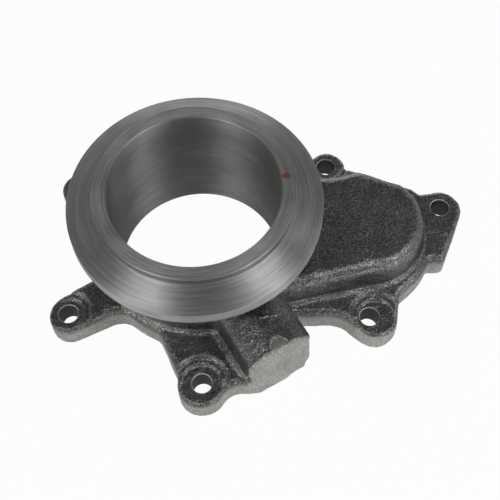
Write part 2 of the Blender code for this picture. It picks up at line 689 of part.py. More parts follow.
def is_machined(polygon):
    """Tell whether a face is cut by a tool: the flange and its spigot, the bore and the joint face."""
    x, y, height = polygon.center / MM
    radius = math.hypot(x, y)
    in_bore = radius < BORE_RADIUS + FACE_TOLERANCE and abs(polygon.normal.z) < STEEPEST_UPRIGHT
    on_joint_face = height < FACE_TOLERANCE and polygon.normal.z < FLATTEST_DOWNWARD
    return height > RIM_BOTTOM or in_bore or on_joint_face


def make_facing_cutter():
    """Make the block that takes the machining allowance off the joint face."""
    reach = EAR_CHAMBER_TIP.hole[0] + BOLT_CIRCLE_RADIUS
    rings = [[(-reach, -reach, z), (reach, -reach, z), (reach, reach, z), (-reach, reach, z)]
             for z in (-MACHINING_ALLOWANCE - CUTTER_OVERRUN, 0.0)]
    return solid_from_rings('facing_cutter', rings)


def make_casting():
    """Join the forms of the casting, then cut its pads, bore, holes, hollow and joint face."""
    casting = make_panel()
    casting.name = 'adapter_casting'
    casting.data.name = 'adapter_casting'
    combine(casting, make_chamber(), 'UNION')
    combine(casting, make_boss(), 'UNION')
    for ear in EARS:
        combine(casting, make_pad_cutter(ear), 'DIFFERENCE')
    combine(casting, make_pads(), 'UNION')
    combine(casting, make_neck(), 'UNION')
    combine(casting, make_pocket_cutter(), 'DIFFERENCE')
    combine(casting, make_port_cutter(), 'DIFFERENCE')
    combine(casting, make_bore_cutter(), 'DIFFERENCE')
    for ear in EARS:
        combine(casting, make_bolt_cutter(ear), 'DIFFERENCE')
    combine(casting, make_facing_cutter(), 'DIFFERENCE')
    return casting


def finish_casting(casting):
    """Give the casting its materials and shading, and stand it over the origin."""
    mesh = casting.data
    mesh.materials.clear()
    mesh.materials.append(make_material('cast_iron_skin', CAST_SKIN))
    mesh.materials.append(make_material('machined_iron', MACHINED))
    for polygon in mesh.polygons:
        polygon.material_index = 1 if is_machined(polygon) else 0
    mesh.shade_smooth()
    mesh.set_sharp_from_angle(angle=math.radians(SHARP_ANGLE_DEG))
    xs = [vertex.co.x for vertex in mesh.vertices]
    ys = [vertex.co.y for vertex in mesh.vertices]
    centre = Vector(((min(xs) + max(xs)) / 2.0, (min(ys) + max(ys)) / 2.0, 0.0))
    mesh.transform(Matrix.Translation(-centre))


def main():
    for thing in list(bpy.data.objects):
        bpy.data.objects.remove(thing)
    finish_casting(make_casting())


main()
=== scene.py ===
"""Dressed scene of an iron exhaust adapter: cast skin, turned clamp end, studio and camera.

The casting's skin is drawn as a distance field on a grid, so that its boss, chamber, neck and sunken pads
run into each other with the soft fillets of a sand casting.  The field is contoured, the machined surfaces
are cut into it, and the turned end is a solid of revolution.  Drawing sizes are in millimetres, with the
bore's axis as the Z axis and the joint face at z = 0; a mesh is moved to the row's frame and turned into
metres when made.
"""

import logging
import math
from dataclasses import dataclass, field, replace
from enum import Enum

import bmesh
import bpy
import numpy as np
import openvdb
from mathutils import Matrix, Vector


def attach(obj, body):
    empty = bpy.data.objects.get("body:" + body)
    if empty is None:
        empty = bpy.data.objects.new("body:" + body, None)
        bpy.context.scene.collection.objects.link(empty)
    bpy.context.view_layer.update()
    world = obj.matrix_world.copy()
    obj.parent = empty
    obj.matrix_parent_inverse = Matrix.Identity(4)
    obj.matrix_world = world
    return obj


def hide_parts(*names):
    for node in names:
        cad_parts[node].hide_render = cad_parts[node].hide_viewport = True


LOG = logging.getLogger("adapter")

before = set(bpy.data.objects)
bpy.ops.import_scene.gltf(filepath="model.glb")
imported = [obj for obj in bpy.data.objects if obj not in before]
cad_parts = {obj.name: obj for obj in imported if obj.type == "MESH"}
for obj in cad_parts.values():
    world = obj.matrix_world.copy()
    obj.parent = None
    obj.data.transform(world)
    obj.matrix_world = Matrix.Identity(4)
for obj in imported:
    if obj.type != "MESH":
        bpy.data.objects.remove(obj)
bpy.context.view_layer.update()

MM = 0.001
FULL_TURN = 2.0 * math.pi
NO_SWEEP = 0.9 * FULL_TURN
FAR = 1.0e6
CLEAR = 9.0
TINY = 1.0e-9
BAND_VOXELS = 3.0
MERGE_MM = 0.01
BORE_SCALE = 40.0
BOLT_CIRCLE = 69.0
NODE = "adapter_casting"


class Side(Enum):
    """Which way an arc of an outline bends, for an outline that runs counter-clockwise."""

    CONVEX = 1
    CONCAVE = -1


# Distance fields


def round_union(first: np.ndarray, second: np.ndarray, radius: float | np.ndarray) -> np.ndarray:
    """Join two fields with a concave fillet where they meet.

    Args:
        first: Distances to one form, negative inside it.
        second: Distances to the other form.
        radius: The fillet's radius, a number or an array.

    Returns:
        The distances to both forms together.
    """
    one = np.maximum(radius - first, 0.0)
    other = np.maximum(radius - second, 0.0)
    return np.maximum(radius, np.minimum(first, second)) - np.sqrt(one * one + other * other)


def round_both(first: np.ndarray, second: np.ndarray, radius: float | np.ndarray) -> np.ndarray:
    """Keep what lies in both forms, with a rounded edge where their walls meet.

    Args:
        first: Distances to one form, negative inside it.
        second: Distances to the other form.
        radius: The edge's radius, a number or an array.

    Returns:
        The distances to what both forms share.
    """
    return -round_union(-first, -second, radius)


def smooth_step(low: float, high: float, value: np.ndarray) -> np.ndarray:
    """Rise from 0 to 1 between two values.

    Args:
        low: The value at which the rise starts.
        high: The value at which it ends.
        value: Where it is wanted.

    Returns:
        The share of the rise at each value.
    """
    share = np.clip((value - low) / (high - low), 0.0, 1.0)
    return share * share * (3.0 - 2.0 * share)


def segment_gap(u: np.ndarray, v: np.ndarray, start: tuple, end: tuple) -> np.ndarray:
    """Measure how far points are from the straight line between two points.

    Args:
        u: The points' first coordinates.
        v: The points' second coordinates.
        start: The line's first point.
        end: Its last point.

    Returns:
        The distances.
    """
    along_u, along_v = end[0] - start[0], end[1] - start[1]
    length = along_u * along_u + along_v * along_v + TINY
    share = np.clip(((u - start[0]) * along_u + (v - start[1]) * along_v) / length, 0.0, 1.0)
    return np.hypot(u - start[0] - share * along_u, v - start[1] - share * along_v)


@dataclass(frozen=True)
class Arc:
    """One rounded stretch of an outline."""

    x: float
    y: float
    radius: float
    side: Side = Side.CONVEX

    def at(self, angle: float) -> tuple[float, float]:
        """Return the arc's point at an angle."""
        return (self.x + self.radius * math.cos(angle), self.y + self.radius * math.sin(angle))


@dataclass
class Outline:
    """A closed counter-clockwise outline of arcs joined by their common tangents."""

    arcs: list[Arc]
    step: float = 0.5
    lines: list[float] = field(init=False)
    points: list[tuple[float, float]] = field(init=False)
    sweeps: list[tuple[float, float]] = field(init=False)

    def __post_init__(self) -> None:
        """Work out the tangents' headings, each arc's sweep and the outline's points."""
        self.lines = []
        for index, arc in enumerate(self.arcs):
            after = self.arcs[(index + 1) % len(self.arcs)]
            along_x, along_y = after.x - arc.x, after.y - arc.y
            turn = after.side.value * after.radius - arc.side.value * arc.radius
            ratio = max(-1.0, min(1.0, turn / math.hypot(along_x, along_y)))
            self.lines.append(math.atan2(along_y, along_x) - math.asin(ratio))
        self.points = []
        self.sweeps = []
        for index, arc in enumerate(self.arcs):
            side = arc.side.value
            start = self.lines[index - 1]
            sweep = (self.lines[index] - start) * side % FULL_TURN
            if sweep > NO_SWEEP:
                sweep = 0.0
            first = start - side * math.pi / 2.0
            self.sweeps.append((first, sweep))
            count = max(2, math.ceil(arc.radius * sweep / self.step))
            self.points += [arc.at(first + side * sweep * number / count) for number in range(count + 1)]

    def distance(self, u: np.ndarray, v: np.ndarray) -> np.ndarray:
        """Measure how far points are from the outline.

        Args:
            u: The points' first coordinates.
            v: The points' second coordinates.

        Returns:
            The distances, negative inside the outline.
        """
        nearest = np.full(np.broadcast(u, v).shape, FAR, dtype=np.float32)
        corners = []
        for arc, (first, sweep) in zip(self.arcs, self.sweeps):
            out_u, out_v = u - arc.x, v - arc.y
            reach = np.sqrt(out_u * out_u + out_v * out_v)
            turned = (np.arctan2(out_v, out_u) - first) * arc.side.value % FULL_TURN
            nearest = np.where(turned <= sweep, np.minimum(nearest, np.abs(reach - arc.radius)), nearest)
            corners.append((arc.at(first), arc.at(first + arc.side.value * sweep)))
        for index, (_, start) in enumerate(corners):
            end = corners[(index + 1) % len(corners)][0]
            nearest = np.minimum(nearest, segment_gap(u, v, start, end))
        inside = np.zeros(nearest.shape, dtype=bool)
        before = self.points[-1]
        for point in self.points:
            if point[1] != before[1]:
                spans = (point[1] > v) != (before[1] > v)
                edge = (before[0] - point[0]) * (v - point[1]) / (before[1] - point[1]) + point[0]
                inside ^= spans & (u < edge)
            before = point
        return np.where(inside, -nearest, nearest).astype(np.float32)


@dataclass(frozen=True)
class Grid:
    """The grid on which the casting's distance field is drawn, in millimetres."""

    low: tuple[float, float, float] = (-73.0, -83.5, -3.2)
    high: tuple[float, float, float] = (130.5, 83.0, 54.0)
    voxel: float = 0.45

    def axis(self, index: int) -> np.ndarray:
        """Return the grid's coordinates along one axis."""
        count = math.ceil((self.high[index] - self.low[index]) / self.voxel)
        return (self.low[index] + self.voxel * np.arange(count)).astype(np.float32)

    @property
    def x(self) -> np.ndarray:
        """Return the first coordinates, shaped to spread over the grid."""
        return self.axis(0)[:, None, None]

    @property
    def y(self) -> np.ndarray:
        """Return the second coordinates, shaped to spread over the grid."""
        return self.axis(1)[None, :, None]

    @property
    def z(self) -> np.ndarray:
        """Return the heights, shaped to spread over the grid."""
        return self.axis(2)[None, None, :]


# Forms of the casting


@dataclass(frozen=True)
class Ear:
    """A bolting ear: its hole, its rounded end, its pad's height and the wall round the sunken pad."""

    hole: tuple[float, float]
    centre: tuple[float, float]
    radius: float
    level: float = 12.0
    ledge: float = 1.0
    wall_run: float = 1.7

    @property
    def arc(self) -> Arc:
        """Return the ear's rounded end as an outline arc."""
        return Arc(*self.centre, self.radius)


def polar(radius: float, azimuth_deg: float) -> tuple[float, float]:
    """Return the point at a distance and azimuth from the bore's axis."""
    angle = math.radians(azimuth_deg)
    return (radius * math.cos(angle), radius * math.sin(angle))


def moved(point: tuple[float, float], shift: tuple[float, float]) -> tuple[float, float]:
    """Return a point moved by a shift."""
    return (point[0] + shift[0], point[1] + shift[1])


def neck_ear(azimuth_deg: float, radius: float, shift: tuple[float, float] = (0.0, 0.0)) -> Ear:
    """Return an ear on the bolt circle round the neck."""
    hole = polar(BOLT_CIRCLE, azimuth_deg)
    return Ear(hole, moved(hole, shift), radius)


@dataclass(frozen=True)
class PanelEnd:
    """The round end of the panel, from which the ears round it are set out."""

    centre: tuple[float, float] = (75.0, 5.5)
    radius: float = 36.4

    @property
    def arc(self) -> Arc:
        """Return the round end as an outline arc."""
        return Arc(*self.centre, self.radius)

    def ear(self, overhang: float, azimuth_deg: float, shift: tuple[float, float], radius: float) -> Ear:
        """Return an ear whose hole lies beyond the end's edge."""
        hole = moved(self.centre, polar(self.radius + overhang, azimuth_deg))
        return Ear(hole, moved(hole, shift), radius)


def beside(arc: Arc, toward: tuple[float, float], turn_deg: float, radius: float, gap: float) -> Arc:
    """Return the concave arc beside a convex arc, at a turn away from the direction of a point."""
    heading = math.degrees(math.atan2(toward[1] - arc.y, toward[0] - arc.x))
    x, y = polar(arc.radius + radius + gap, heading + turn_deg)
    return Arc(arc.x + x, arc.y + y, radius, Side.CONCAVE)


@dataclass(frozen=True)
class Parting:
    """The ragged burr along the boss's front edge and the wrinkles on its top, in across and out."""

    radius: float = 0.55
    swing: float = 0.28
    swing_waves: tuple[tuple[float, float], ...] = ((1.9, 0.8), (0.83, -0.6))
    back: float = 0.9
    back_swing: float = 0.5
    back_wave: tuple[float, float] = (0.9, 0.4)
    wrinkles: tuple[tuple[tuple[float, float], tuple[float, float]], ...] = (
        ((-10.5, 63.0), (-5.7, 63.8)), ((1.2, 56.6), (6.0, 58.4)), ((6.0, 58.4), (11.3, 58.6)))
    wrinkle_radius: float = 0.5
    wrinkle_sink: float = 0.12
    sway: float = 0.3
    sway_wave: tuple[float, float] = (2.3, 0.0)

    @staticmethod
    def wave(across: np.ndarray, rate_and_phase: tuple[float, float]) -> np.ndarray:
        """Return a wave across the boss's face."""
        return np.sin(rate_and_phase[0] * across + rate_and_phase[1])

    def burr(self, section: np.ndarray, across: np.ndarray, front: np.ndarray) -> np.ndarray:
        """Draw the burr.

        Args:
            section: Distances to the boss's section.
            across: Distances across the boss's face.
            front: Distances out from its face.

        Returns:
            The distances to the burr.
        """
        first, second = self.swing_waves
        ragged = self.radius + self.swing * self.wave(across, first) * self.wave(across, second)
        back = self.back + self.back_swing * self.wave(across, self.back_wave)
        return np.sqrt(section ** 2 + (front + back) ** 2) - ragged

    def wrinkled(self, section: np.ndarray, across: np.ndarray, out: np.ndarray) -> np.ndarray:
        """Draw the wrinkles.

        Args:
            section: Distances to the boss's section.
            across: Distances across the boss's face.
            out: Distances out from the bore's axis.

        Returns:
            The distances to the wrinkles.
        """
        found = FAR
        swayed = out + self.sway * self.wave(across, self.sway_wave)
        for start, end in self.wrinkles:
            gap = segment_gap(across, swayed, start, end)
            ridge = np.sqrt((section + self.wrinkle_sink) ** 2 + gap ** 2) - self.wrinkle_radius
            found = np.minimum(found, ridge)
        return found


@dataclass(frozen=True)
class Boss:
    """The square boss beside the neck, in its own directions across and out."""

    azimuth_deg: float = -61.4
    reach: float = 73.3
    half_width: float = 15.25
    side_shift: float = 1.45
    draft_deg: float = 2.2
    front_draft_deg: float = 1.0
    crest: float = 37.3
    arch_radius: float = 18.5
    shoulder_radius: float = 3.0
    left_shoulder_radius: float = 6.5
    section_foot: float = -4.0
    section_foot_radius: float = 1.0
    plan_back: float = 30.0
    front_length: float = 20.0
    corner_radius: float = 3.0
    foot_corner_radius: float = 11.0
    foot_corner_heights: tuple[float, float] = (20.0, 13.0)
    foot_edge_radius: float = 8.0
    foot_edge_heights: tuple[float, float] = (11.0, 1.0)
    neck_blend: float = 2.0
    neck_blend_height: float = 26.0
    foot_blend: float = 0.7
    flare: float = 3.8
    flare_across: tuple[float, float] = (9.0, 3.0)
    gate_centre: tuple[float, float] = (1.0, 72.0)
    gate_radius: float = 4.3
    gate_depth: float = 0.45
    parting: Parting = Parting()
    blend_radius: float = 14.0
    blend_across: float = -9.0
    base_step: float = 0.7
    low: tuple[float, float, float] = (-8.0, -83.0, -3.2)
    high: tuple[float, float, float] = (68.0, -8.0, 42.0)

    @property
    def shoulder_height(self) -> float:
        """Return the height at which the sides turn into the shoulders."""
        return self.shoulder_centre(self.shoulder_radius)

    def shoulder_centre(self, radius: float) -> float:
        """Return the height of the centre of a shoulder that touches the arch and a side."""
        run = self.half_width - radius
        return self.crest - self.arch_radius + math.sqrt((self.arch_radius - radius) ** 2 - run ** 2)

    def lean(self, height: float) -> float:
        """Return how far a drafted side stands out at a height."""
        return (self.shoulder_height - height) * math.tan(math.radians(self.draft_deg))

    def point(self, across: float, out: float) -> tuple[float, float]:
        """Return the plan point at a distance across the boss's face and out from the bore's axis."""
        angle = math.radians(self.azimuth_deg)
        cosine, sine = math.cos(angle), math.sin(angle)
        return (out * cosine - across * sine, out * sine + across * cosine)

    def arc(self, across: float, out: float, radius: float) -> Arc:
        """Return a plan arc placed in the boss's own directions."""
        return Arc(*self.point(across, out), radius)

    def section(self) -> Outline:
        """Return the boss's section across its face, with an arched top."""
        right = self.side_shift + self.half_width
        left = self.side_shift - self.half_width
        foot, radius = self.section_foot, self.section_foot_radius
        return Outline([
            Arc(right + self.lean(foot) - radius, foot, radius),
            Arc(right - self.shoulder_radius, self.shoulder_height, self.shoulder_radius),
            Arc(self.side_shift, self.crest - self.arch_radius, self.arch_radius),
            Arc(left + self.left_shoulder_radius, self.shoulder_centre(self.left_shoulder_radius),
                self.left_shoulder_radius),
            Arc(left - self.lean(foot) + radius, foot, radius),
        ])

    def plan(self, left_radius: float, right_radius: float) -> Outline:
        """Return the boss's plan at its shoulders, with rounded upright corners, in across and out."""
        right = self.side_shift + self.half_width - right_radius
        left = self.side_shift - self.half_width + left_radius
        front = self.reach - right_radius
        return Outline([Arc(left, self.plan_back, left_radius), Arc(right, self.plan_back, right_radius),
                        Arc(right, front, right_radius), Arc(left, self.reach - left_radius, left_radius)])


@dataclass(frozen=True)
class Chamber:
    """The raised chamber beside the neck and its hollow."""

    height: float = 30.0
    edge_radius: float = 5.0
    foot_fillet: float = 2.6
    draft_deg: float = 5.0
    wall: float = 5.5
    ear_clearance: float = 6.0
    scallop_radius: float = 1.5
    corner_radius: float = 3.0
    front_arc: Arc = Arc(20.0, -25.8, 10.5)
    neck_arc: Arc = Arc(25.0, 15.0, 15.0)
    end_shift: tuple[float, float] = (3.5, -2.0)
    end_inset: float = 9.2
    back_corners: tuple[tuple[float, float, float], ...] = ((45.7, 4.5, 0.25), (95.3, 3.5, 1.4))

    def outline(self, panel_end: PanelEnd, ear: Ear) -> Outline:
        """Return the outer wall's outline at its foot, inside the panel's end and clear of an ear."""
        end = moved(panel_end.centre, self.end_shift)
        round_end = Arc(*end, panel_end.radius - self.end_inset)
        corners = [Arc(*moved(end, polar(round_end.radius - radius + step, azimuth_deg)), radius)
                   for azimuth_deg, radius, step in self.back_corners]
        scallop = Arc(*ear.hole, ear.radius + self.ear_clearance, Side.CONCAVE)
        return Outline([self.front_arc, round_end, *corners, scallop, self.neck_arc])


@dataclass(frozen=True)
class TurnedEnd:
    """The turned clamp end: bore wall, annulus, spigot, cone and rim, as one solid of revolution."""

    bore: float = 38.1
    top: float = 63.5
    spigot_radius: float = 44.5
    spigot_height: float = 4.0
    flange_radius: float = 56.5
    cone_drop: float = 4.9
    rim_width: float = 6.4
    chamfer: float = 0.4
    ease: float = 0.1
    ease_drop: float = 0.12
    root: float = 0.25
    back_inset: float = 1.0
    back_lap: float = 1.4
    support: float = 0.25
    support_from: float = 1.5
    liner: float = 0.6
    seat_gap: float = 0.2
    seat_lift: float = 0.4
    steps: int = 256

    @property
    def rim_bottom(self) -> float:
        """Return the height of the rim's lower edge."""
        return self.top - self.spigot_height - self.cone_drop - self.rim_width

    def profile(self) -> list[tuple[float, float]]:
        """Return the closed profile, with points beside its edges that keep its walls flat.

        Returns:
            The points as radius and height, counter-clockwise.
        """
        cone_top = self.top - self.spigot_height
        rim_top = cone_top - self.cone_drop
        rim, low, spigot, bore = self.flange_radius, self.rim_bottom, self.spigot_radius, self.bore
        seat = bore + self.liner
        chamfer, ease, drop = self.chamfer, self.ease, self.ease_drop
        corners = [
            (bore, 0.0),
            (seat, 0.0),
            (seat + self.seat_gap, self.seat_lift),
            (seat + self.seat_gap, low + self.back_lap),
            (rim - self.back_inset, low + self.back_lap),
            (rim - self.back_inset, low),
            (rim - chamfer, low),
            (rim - ease, low + ease),
            (rim, low + chamfer),
            (rim, rim_top - chamfer),
            (rim - ease, rim_top - drop),
            (rim - chamfer, rim_top + 0.4 * ease),
            (spigot + self.root, cone_top - ease),
            (spigot + 0.5 * ease, cone_top + 0.5 * ease),
            (spigot, cone_top + 3.0 * ease),
            (spigot, self.top - chamfer),
            (spigot - ease, self.top - drop),
            (spigot - chamfer, self.top),
            (bore + chamfer, self.top),
            (bore + ease, self.top - drop),
            (bore, self.top - chamfer),
        ]
        points = []
        for start, end in zip(corners, corners[1:] + corners[:1]):
            length = math.dist(start, end)
            step = self.support / length
            shares = (0.0, step, 1.0 - step) if length > self.support_from else (0.0,)
            points += [(start[0] + share * (end[0] - start[0]), start[1] + share * (end[1] - start[1]))
                       for share in shares]
        return points


@dataclass(frozen=True)
class Body:
    """The base with its ears, the panel between them and the neck."""

    pad: float = 12.0
    panel: float = 14.5
    pad_edge: float = 1.8
    panel_edge: float = 2.9
    radius: float = 47.2
    neck: float = 44.5
    neck_fillet: float = 2.8
    back_angle_deg: float = 20.0
    back_fillet: float = 3.0
    wall_start: float = 0.6
    wall_run: float = 1.7
    ledge_start: float = -2.4
    ledge_run: float = 1.3
    ledge_turn: tuple[float, float] = (-0.25, 0.2)
    neck_lap: float = 2.6
    flange_inset: float = 0.5
    corner_fillet: float = 3.0
    front_y: float = -36.9
    front_hollow: tuple[float, float] = (-21.6, 13.6)
    front_left: Ear = neck_ear(-151.0, 9.0)
    front: Ear = neck_ear(-89.0, 10.6, (-0.3, -0.1))
    panel_end: PanelEnd = PanelEnd()
    chamber_front: Ear = panel_end.ear(7.48, -86.47, (2.9, -0.1), 10.0)
    chamber_tip: Ear = replace(
        panel_end.ear(6.65, 17.3, (0.2, -0.3), 10.1), level=13.6, ledge=0.0, wall_run=7.0)
    chamber_back: Ear = replace(panel_end.ear(4.3, 108.03, (0.5, -0.2), 9.0), level=12.6)
    back: Ear = neck_ear(90.0, 9.5)
    back_left: Ear = neck_ear(149.3, 9.0)

    @property
    def ears(self) -> tuple[Ear, ...]:
        """Return all the ears."""
        return (self.front_left, self.front, self.chamber_front, self.chamber_tip,
                self.chamber_back, self.back, self.back_left)

    def inward(self, ear: Ear) -> Vector:
        """Return the direction from an ear to the middle of the body that it stands on."""
        start = self.panel_end.centre[0] - self.radius / 2.0
        middle = self.panel_end.centre if ear.hole[0] > start else (0.0, 0.0)
        return Vector((middle[0] - ear.centre[0], middle[1] - ear.centre[1])).normalized()

    def web(self, azimuth_deg: float, radius: float) -> Arc:
        """Return a concave arc that touches the round body at an azimuth."""
        x, y = polar(self.radius + radius, azimuth_deg)
        return Arc(x, y, radius, Side.CONCAVE)

    def outline(self, boss: Boss) -> Outline:
        """Return the whole base's outline, counter-clockwise from the front left ear."""
        body = Arc(0.0, 0.0, self.radius)
        right = boss.side_shift + boss.half_width + boss.lean(self.panel) - boss.base_step
        front = boss.reach - boss.base_step
        blend = boss.arc(boss.blend_across, front - boss.blend_radius, boss.blend_radius)
        corner = boss.arc(right - boss.foot_edge_radius, front - boss.foot_edge_radius, boss.foot_edge_radius)
        angle = math.radians(boss.azimuth_deg)
        fillet = self.corner_fillet
        inner_y = self.front_y - fillet
        inner_x = (right + fillet - inner_y * math.cos(angle)) / -math.sin(angle)
        hollow_shift, hollow_radius = self.front_hollow
        hollow_x = self.chamber_front.centre[0] + hollow_shift
        tip, end, back_ear = self.chamber_tip, self.panel_end.arc, self.chamber_back
        tab, shoulder = moved(tip.centre, (-3.3, -24.8)), moved(tip.centre, (-14.1, 9.6))
        back_azimuth = math.degrees(math.atan2(back_ear.centre[1], back_ear.centre[0]))
        return Outline([
            self.front_left.arc,
            self.web(-130.2, 10.4),
            body,
            self.web(-115.5, 5.0),
            beside(self.front.arc, moved(self.front.centre, (-1.0, 0.0)), -12.0, 5.0, 0.0),
            self.front.arc,
            self.touching(self.front.arc, blend, 11.0),
            blend,
            corner,
            Arc(inner_x, inner_y, fillet, Side.CONCAVE),
            Arc(hollow_x, self.front_y - hollow_radius, hollow_radius, Side.CONCAVE),
            self.chamber_front.arc,
            beside(end, self.chamber_front.centre, 22.5, 3.0, 0.95),
            end,
            beside(end, tab, -9.7, 2.0, 0.0),
            Arc(*tab, 3.5),
            tip.arc,
            beside(tip.arc, shoulder, -20.0, 2.8, 1.25),
            Arc(*shoulder, 2.5),
            beside(back_ear.arc, shoulder, 23.3, 2.0, 0.03),
            back_ear.arc,
            self.web(back_azimuth + 14.7, 12.0),
            body,
            self.web(72.6, 8.0),
            self.back.arc,
            self.web(107.4, 8.0),
            body,
            self.web(131.9, 8.0),
            self.back_left.arc,
            self.web(166.7, 8.0),
            body,
            self.web(-169.4, 8.0),
        ])

    @staticmethod
    def touching(first: Arc, second: Arc, radius: float) -> Arc:
        """Return the concave arc that touches two convex ones, on the right of the way between them."""
        reach, other = first.radius + radius, second.radius + radius
        across = Vector((second.x - first.x, second.y - first.y))
        along = (across.length ** 2 + reach ** 2 - other ** 2) / (2.0 * across.length)
        height = math.sqrt(reach ** 2 - along ** 2)
        unit = across.normalized()
        centre = Vector((first.x, first.y)) + unit * along + Vector((unit.y, -unit.x)) * height
        return Arc(centre.x, centre.y, radius, Side.CONCAVE)


@dataclass(frozen=True)
class Waves:
    """The unevenness of a sand-cast skin: waves of several lengths at chosen directions."""

    lengths: tuple[float, ...] = (17.0, 11.0, 7.5, 5.2, 3.6, 2.6, 1.9)
    depths: tuple[float, ...] = (0.050, 0.045, 0.035, 0.028, 0.026, 0.026, 0.026)
    per_length: int = 4
    share: float = 0.7
    seed: int = 11

    def at(self, x: np.ndarray, y: np.ndarray, z: np.ndarray) -> np.ndarray:
        """Return the height of the unevenness.

        Args:
            x: First coordinates of the points.
            y: Second coordinates.
            z: Heights.

        Returns:
            How far the skin stands in or out at each point.
        """
        source = np.random.default_rng(self.seed)
        total = np.zeros_like(x)
        for length, depth in zip(self.lengths, self.depths):
            for _ in range(self.per_length):
                way = source.normal(size=3)
                way *= FULL_TURN / length / np.linalg.norm(way)
                phase = source.uniform(0.0, FULL_TURN)
                wave = np.sin(way[0] * x + way[1] * y + way[2] * z + phase).astype(np.float32)
                total += depth * self.share * wave
        return total


